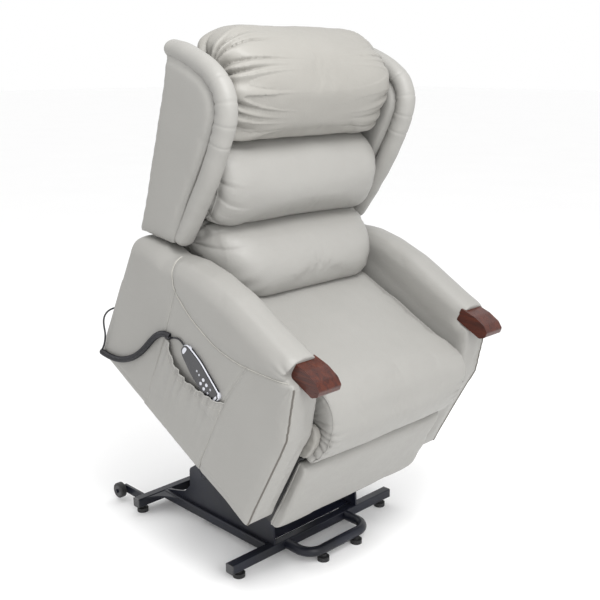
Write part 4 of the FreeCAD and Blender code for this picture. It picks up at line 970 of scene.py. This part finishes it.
def outer_back():
    """The padded cover of the backrest's rear, wide enough above the arms to meet the wings."""
    foot, top = 262, 889

    def rear(z):
        return np.interp(z, [foot, 406, top], [671, 692, 771])

    def wide(z):
        return np.interp(z, [foot, 455, 472, top], [270, 270, 303, 303])

    heights = np.linspace(foot, top, 64)
    across = np.linspace(-1, 1, 61)
    front_points = [(wide(z) * t, rear(z) - 13, z) for z in heights for t in across]
    back_points = [(wide(z) * t, rear(z), z) for z in heights for t in across]
    points = front_points + back_points
    rows, columns = len(heights), len(across)
    faces = []
    for layer in (0, rows * columns):
        for i in range(rows - 1):
            for k in range(columns - 1):
                a = layer + i * columns + k
                faces.append((a, a + 1, a + columns + 1, a + columns))
    border = list(range(columns)) + [i * columns + columns - 1 for i in range(1, rows)]
    border += [(rows - 1) * columns + k for k in range(columns - 2, -1, -1)]
    border += [i * columns for i in range(rows - 2, 0, -1)]
    for a, b in zip(border, border[1:] + border[:1]):
        faces.append((a, b, rows * columns + b, rows * columns + a))
    obj = mesh_object("back_cover", np.array(points) * MM, faces)
    face_outwards(obj)
    remesh(obj, 0.0065)
    relax(obj, 4)
    subdivide(obj)

    def shape(p, facing):
        behind = step_in(facing[:, 1], 0.3, 0.8)
        inside = np.minimum(wide(p[:, 2]) - np.abs(p[:, 0]), np.minimum(p[:, 2] - foot, top - p[:, 2]))
        moved = 4.5 * step_in(inside, 4, 70) * behind
        moved += 1.8 * behind * rumple(p, 120, 6.0) + 0.8 * behind * rumple(p * (1, 1, 0.4), 40, 2.0)
        for seam in (-150, 150):
            moved -= 2.2 * behind * np.exp(-((p[:, 0] - seam) / 3.4) ** 2)
        moved -= 2.0 * behind * np.exp(-((p[:, 2] - 470) / 3.4) ** 2)
        return moved

    sculpt(obj, shape)
    paint(obj, STONE)
    tree = surface_tree(obj)
    lines = []
    for x in (-154, -146, 146, 154):
        lines.append(laid_on(tree, [(x, 900, z) for z in np.arange(476, 884, 2.0)], (0, -1, 0), 0.15))
    for z in (466, 474):
        lines.append(laid_on(tree, [(x, 900, z) for x in np.arange(-266, 266, 2.0)], (0, -1, 0), 0.15))
    edge = [(-268, 664, 264), (-268, 695, 455), (-301, 697, 474), (-301, 766, 886), (301, 766, 886),
            (301, 697, 474), (268, 695, 455), (268, 664, 264)]
    welt = nearest_on(tree, even(edge, 3.0), 0.5)
    settle(obj, "back", "leather", "back_panel", padding=0.4)
    ribbon_seam("back_cover_welt", [welt], "back", 2.2, STONE)
    stitches("back_cover_stitching", lines, "back")


outer_back()


# ---------------------------------------------------------------- side pocket

def side_pocket():
    """A gathered pocket on the right arm, its elastic mouth sagging over the handset's lower end."""
    mouth = smooth_line([(460, 244), (437, 245), (414, 223), (376, 210), (331, 206), (286, 216), (247, 229),
                         (221, 237), (200, 243)], 14)
    mouth = even(mouth, 2.0)
    columns = len(mouth)
    rows = 84
    bottom = 6.0
    arm_face, outermost = 380.6, 402.0
    points = []
    for j in range(rows):
        t = j / (rows - 1)
        for i, (y, z) in enumerate(mouth):
            s = i / (columns - 1)
            width = math.sin(math.pi * s)
            zz = z + (bottom - z) * t
            yy = y + (np.interp(s, [0, 1], [463, 205]) - y) * t ** 1.5 * 0.9
            # Over the handset's lower end the pocket stands further out.
            over = 19.4 * step_in(yy, 200, 216) * (1 - step_in(yy, 262, 320)) * step_in(zz, 150, 205)
            bulge = max(over, 16.6 * width ** 0.35 * (1 - t) ** 0.8 + 1.4)
            ruche = math.exp(-((t - 0.045) / 0.05) ** 2)
            gather = 1.9 * ruche * math.sin(i * 1.45 + 1.4 * math.sin(i * 0.37))
            fan = math.exp(-t * 2.6) * 3.6 * math.sin(i * 0.36 + 1.1 * math.sin(i * 0.11) + 2.5 * t)
            drape = 5.0 * noise.noise(Vector((yy / 34, zz / 85, 3.3))) * math.sin(math.pi * min(1, t * 1.1))
            out = arm_face + max(0.2, bulge + (gather + fan + drape) * width ** 0.5)
            points.append((-min(out, outermost), yy, zz + 1.2 * ruche * math.sin(i * 0.9)))
    faces = [(j * columns + i, j * columns + i + 1, (j + 1) * columns + i + 1, (j + 1) * columns + i)
             for j in range(rows - 1) for i in range(columns - 1)]
    obj = mesh_object("side_pocket_skin", np.array(points) * MM, faces)
    thick = obj.modifiers.new("thick", "SOLIDIFY")
    thick.thickness = 0.0013
    thick.offset = 0
    bake(obj)
    paint(obj, STONE)
    hem = [(p[0] - 0.6, p[1], p[2] + 0.6) for p in points[:columns]]
    band = [(p[0] - 0.9, p[1], p[2]) for p in points[columns * 8:columns * 9]]
    sides = [[points[j * columns + i] for j in range(2, rows - 1)] for i in (2, columns - 3)]
    sides = [[(p[0] - 1.0, p[1], p[2]) for p in line] for line in sides]
    settle(obj, "seat", "leather", "side_pocket")
    ribbon_seam("side_pocket_hem", [hem], "seat", 1.9, STONE)
    stitches("side_pocket_stitching", [band] + sides, "seat", radius=0.38)


side_pocket()


# ---------------------------------------------------------------- handset

def handset_trim():
    """Silver rim, end caps and indicator rings of the handset."""
    low = Vector((-380.3, 222, 233))
    along = Vector((0, 382 - 222, 277 - 233)).normalized()
    across = Vector((-1, 0, 0)).cross(along)
    out = Vector((-1, 0, 0))

    def at(a, c, o):
        return low + along * a + across * c + out * o

    half_profile = [(0, 16), (3, 21), (14, 24), (60, 25.5), (104, 26), (152, 18), (164, 10)]
    profile = [(a, -c) for a, c in half_profile] + [(166, 0)] + half_profile[::-1] + [(-1, 0)]
    ring = even(np.vstack([smooth_loop(profile, 6), profile[:1]]), 3.0)[:-1]
    rim = tube("handset_rim", [at(a, c * 1.012, 12.2) for a, c in ring], 1.9, SILVER, closed=True, sides=12)
    settle(rim, "seat", "silver_plastic")
    caps = []
    cap_rings = 9
    cap_sides = 28
    for start, end in ((-1.5, 12), (146, 167.5)):
        points = []
        for s in np.linspace(0, 1, cap_rings):
            a = start + (end - start) * s
            bulge = math.sqrt(max(0.02, 1 - (2 * s - 1) ** 2 * 0.8))
            half = np.interp(a, [-2, 3, 14, 104, 152, 164, 168], [14, 21, 24, 26, 18.5, 11, 6]) * 1.03
            for k in range(cap_sides):
                turn = 2 * math.pi * k / cap_sides
                c = half * math.copysign(abs(math.cos(turn)) ** 0.6, math.cos(turn))
                o = 8.6 + 8.4 * bulge * math.copysign(abs(math.sin(turn)) ** 0.7, math.sin(turn))
                points.append(at(a, c, o))
        caps.append(mesh_object(f"cap_{len(caps)}", np.array(points) * MM, ring_faces(cap_rings, cap_sides)))
    paint(caps[0], SILVER)
    settle(joined("handset_end_caps", caps), "seat", "silver_plastic")
    dots = []
    for a, c in ((30, -10), (30, 6), (80, -2), (92, -2)):
        turns = np.linspace(0, 2 * math.pi, 14)[:-1]
        disc = [at(a + 2.2 * math.cos(t), c + 2.2 * math.sin(t), 16.3) for t in turns]
        dots.append(tube(f"dot_{len(dots)}", disc, 0.7, SILVER, closed=True, sides=6))
    settle(joined("handset_indicators", dots), "seat", "silver_plastic")


handset_trim()


# ---------------------------------------------------------------- the handset's curly cord

LEAD_IN = [
    (-352, 704, 146), (-364, 714, 135), (-378, 716, 122), (-389, 707, 110), (-394, 692, 97),
    (-393, 680, 82), (-392, 674, 62), (-391, 673, 42), (-391, 670, 22),
]
COIL = [
    (-391, 674, 16), (-392, 650, 24), (-392, 622, 37), (-392, 594, 54), (-392, 568, 77),
    (-392, 546, 103), (-391, 528, 132), (-391, 514, 163), (-391, 503, 194), (-390.5, 491, 223),
    (-390.5, 475, 245), (-390.5, 458, 257), (-390.5, 440, 263.5),
]
LEAD_OUT = [
    (-390.5, 440, 263.5), (-389.8, 428, 270), (-389, 414, 278.5), (-388.5, 399, 281.5), (-388.3, 382, 277),
]
WIRE = 5.0  # diameter of the wire, mm
HELIX = 6.0  # radius of the coil's centre line, mm


def spline_curve(name, points, bevel=0.0):
    curve = bpy.data.curves.new(name, "CURVE")
    curve.dimensions = "3D"
    curve.bevel_depth = bevel
    curve.bevel_resolution = 3
    curve.use_fill_caps = bevel > 0
    spline = curve.splines.new("NURBS")
    spline.points.add(len(points) - 1)
    for point, place in zip(spline.points, points):
        point.co = (*place, 1)
    spline.order_u = 3
    spline.use_endpoint_u = True
    spline.resolution_u = 6
    obj = bpy.data.objects.new(name, curve)
    scene.collection.objects.link(obj)
    return obj


def curly_cord():
    route = [SEAT @ (Vector(p) * MM) for p in COIL]
    helper = spline_curve("coil_route", route)
    mesh = bpy.data.meshes.new_from_object(helper)
    centre = even(np.array([v.co for v in mesh.vertices]) / MM, 0.5)
    bpy.data.meshes.remove(mesh)
    bpy.data.objects.remove(helper)
    ahead = directions(centre)
    reach = distances(centre)
    pitch = 5.35
    per_turn = 12
    total = int(reach[-1] / pitch * per_turn)
    side = np.cross(ahead[0], (1.0, 0, 0))
    turns = []
    for k in range(total + 1):
        where = reach[-1] * k / total
        i = int(np.searchsorted(reach, where).clip(0, len(centre) - 1))
        side = side - ahead[i] * (side @ ahead[i])
        side /= np.linalg.norm(side)
        up = np.cross(ahead[i], side)
        turn = 2 * math.pi * k / per_turn
        radius = HELIX / math.cos(math.pi / per_turn)
        turns.append(centre[i] + radius * (math.cos(turn) * side + math.sin(turn) * up))
    lead_in = [np.array(SEAT @ (Vector(p) * MM)) / MM for p in LEAD_IN[:-1]]
    lead_out = [np.array(SEAT @ (Vector(p) * MM)) / MM for p in LEAD_OUT[1:]]
    points = [tuple(np.array(p) * MM) for p in lead_in + turns + lead_out]
    cord = spline_curve("handset_cord", points, WIRE / 2 * MM)
    cord.data.materials.append(CORD)
    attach(cord, "seat")
    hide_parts("cord_leads", "cord_coil")


curly_cord()


# ---------------------------------------------------------------- carried-over CAD nodes

FINISHES = (
    (ZINC, ["base_pins", "lift_rod", "link_bar", "seat_springs", "recline_rod", "legrest_rod", "seat_pins"]),
    (RUBBER, ["levelling_feet", "cord_gland"]),
    (BLACK, ["tube_end_caps", "control_box", "mains_inlet", "lift_motor", "recline_motor", "legrest_motor",
             "handset_front", "handset_back"]),
    (SILVER, ["button_back_up", "button_back_down", "button_feet_up", "button_feet_down", "lift_tube"]),
    (MAHOGANY, ["arm_knuckles"]),
    (PLYWOOD, ["arm_boards"]),
    (DUST_CLOTH, ["legrest_board"]),
)
finish_of = {node: material for material, names in FINISHES for node in names}
for node, obj in nodes.items():
    if node.startswith("transport_wheel"):
        low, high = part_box(node)
        paint(obj, wheel_finish((low + high) / 2))
    elif not obj.hide_render:
        paint(obj, finish_of.get(node, COAT))


# ---------------------------------------------------------------- floor and light

def studio():
    floor = mesh_object("floor", [(-40, -40, 0), (40, -40, 0), (40, 40, 0), (-40, 40, 0)], [(0, 1, 2, 3)])
    n = Nodes("pale_floor")
    colour = n.ramp(n.noise(1.2, 2), [(0.3, (0.975, 0.975, 0.975)), (0.7, (0.985, 0.985, 0.985))])
    paint(floor, n.finish(colour, n.spread(n.noise(3), 0.8, 0.9), n.bump(n.noise(60), 0.02, 0.0005),
                          specular=0.1))
    world = bpy.data.worlds.new("world")
    world.use_nodes = True
    world.node_tree.nodes["Background"].inputs["Color"].default_value = (1.0, 1.0, 1.0, 1)
    world.node_tree.nodes["Background"].inputs["Strength"].default_value = 1.0
    scene.world = world
    for name, place, aim, power, width in (
        ("key", (-0.66, -1.3, 2.6), (0.15, -0.1, 0.9), 36, 0.9),
        ("front", (-0.9, -2.8, 1.7), (0.1, 0, 0.8), 24, 1.6),
        ("top", (0.6, -0.6, 3.8), (0, 0, 0.6), 10, 2.0),
        ("rear", (0.6, 3.2, 2.2), (0, 0, 0.7), 6, 2.2),
    ):
        data = bpy.data.lights.new(name, "AREA")
        data.energy = power
        data.size = width
        lamp = bpy.data.objects.new(name, data)
        lamp.location = place
        lamp.rotation_mode = "QUATERNION"
        lamp.rotation_quaternion = (Vector(aim) - Vector(place)).to_track_quat("-Z", "Y")
        scene.collection.objects.link(lamp)
    scene.view_settings.view_transform = "Standard"
    scene.view_settings.look = "None"


studio()

bpy.context.view_layer.update()
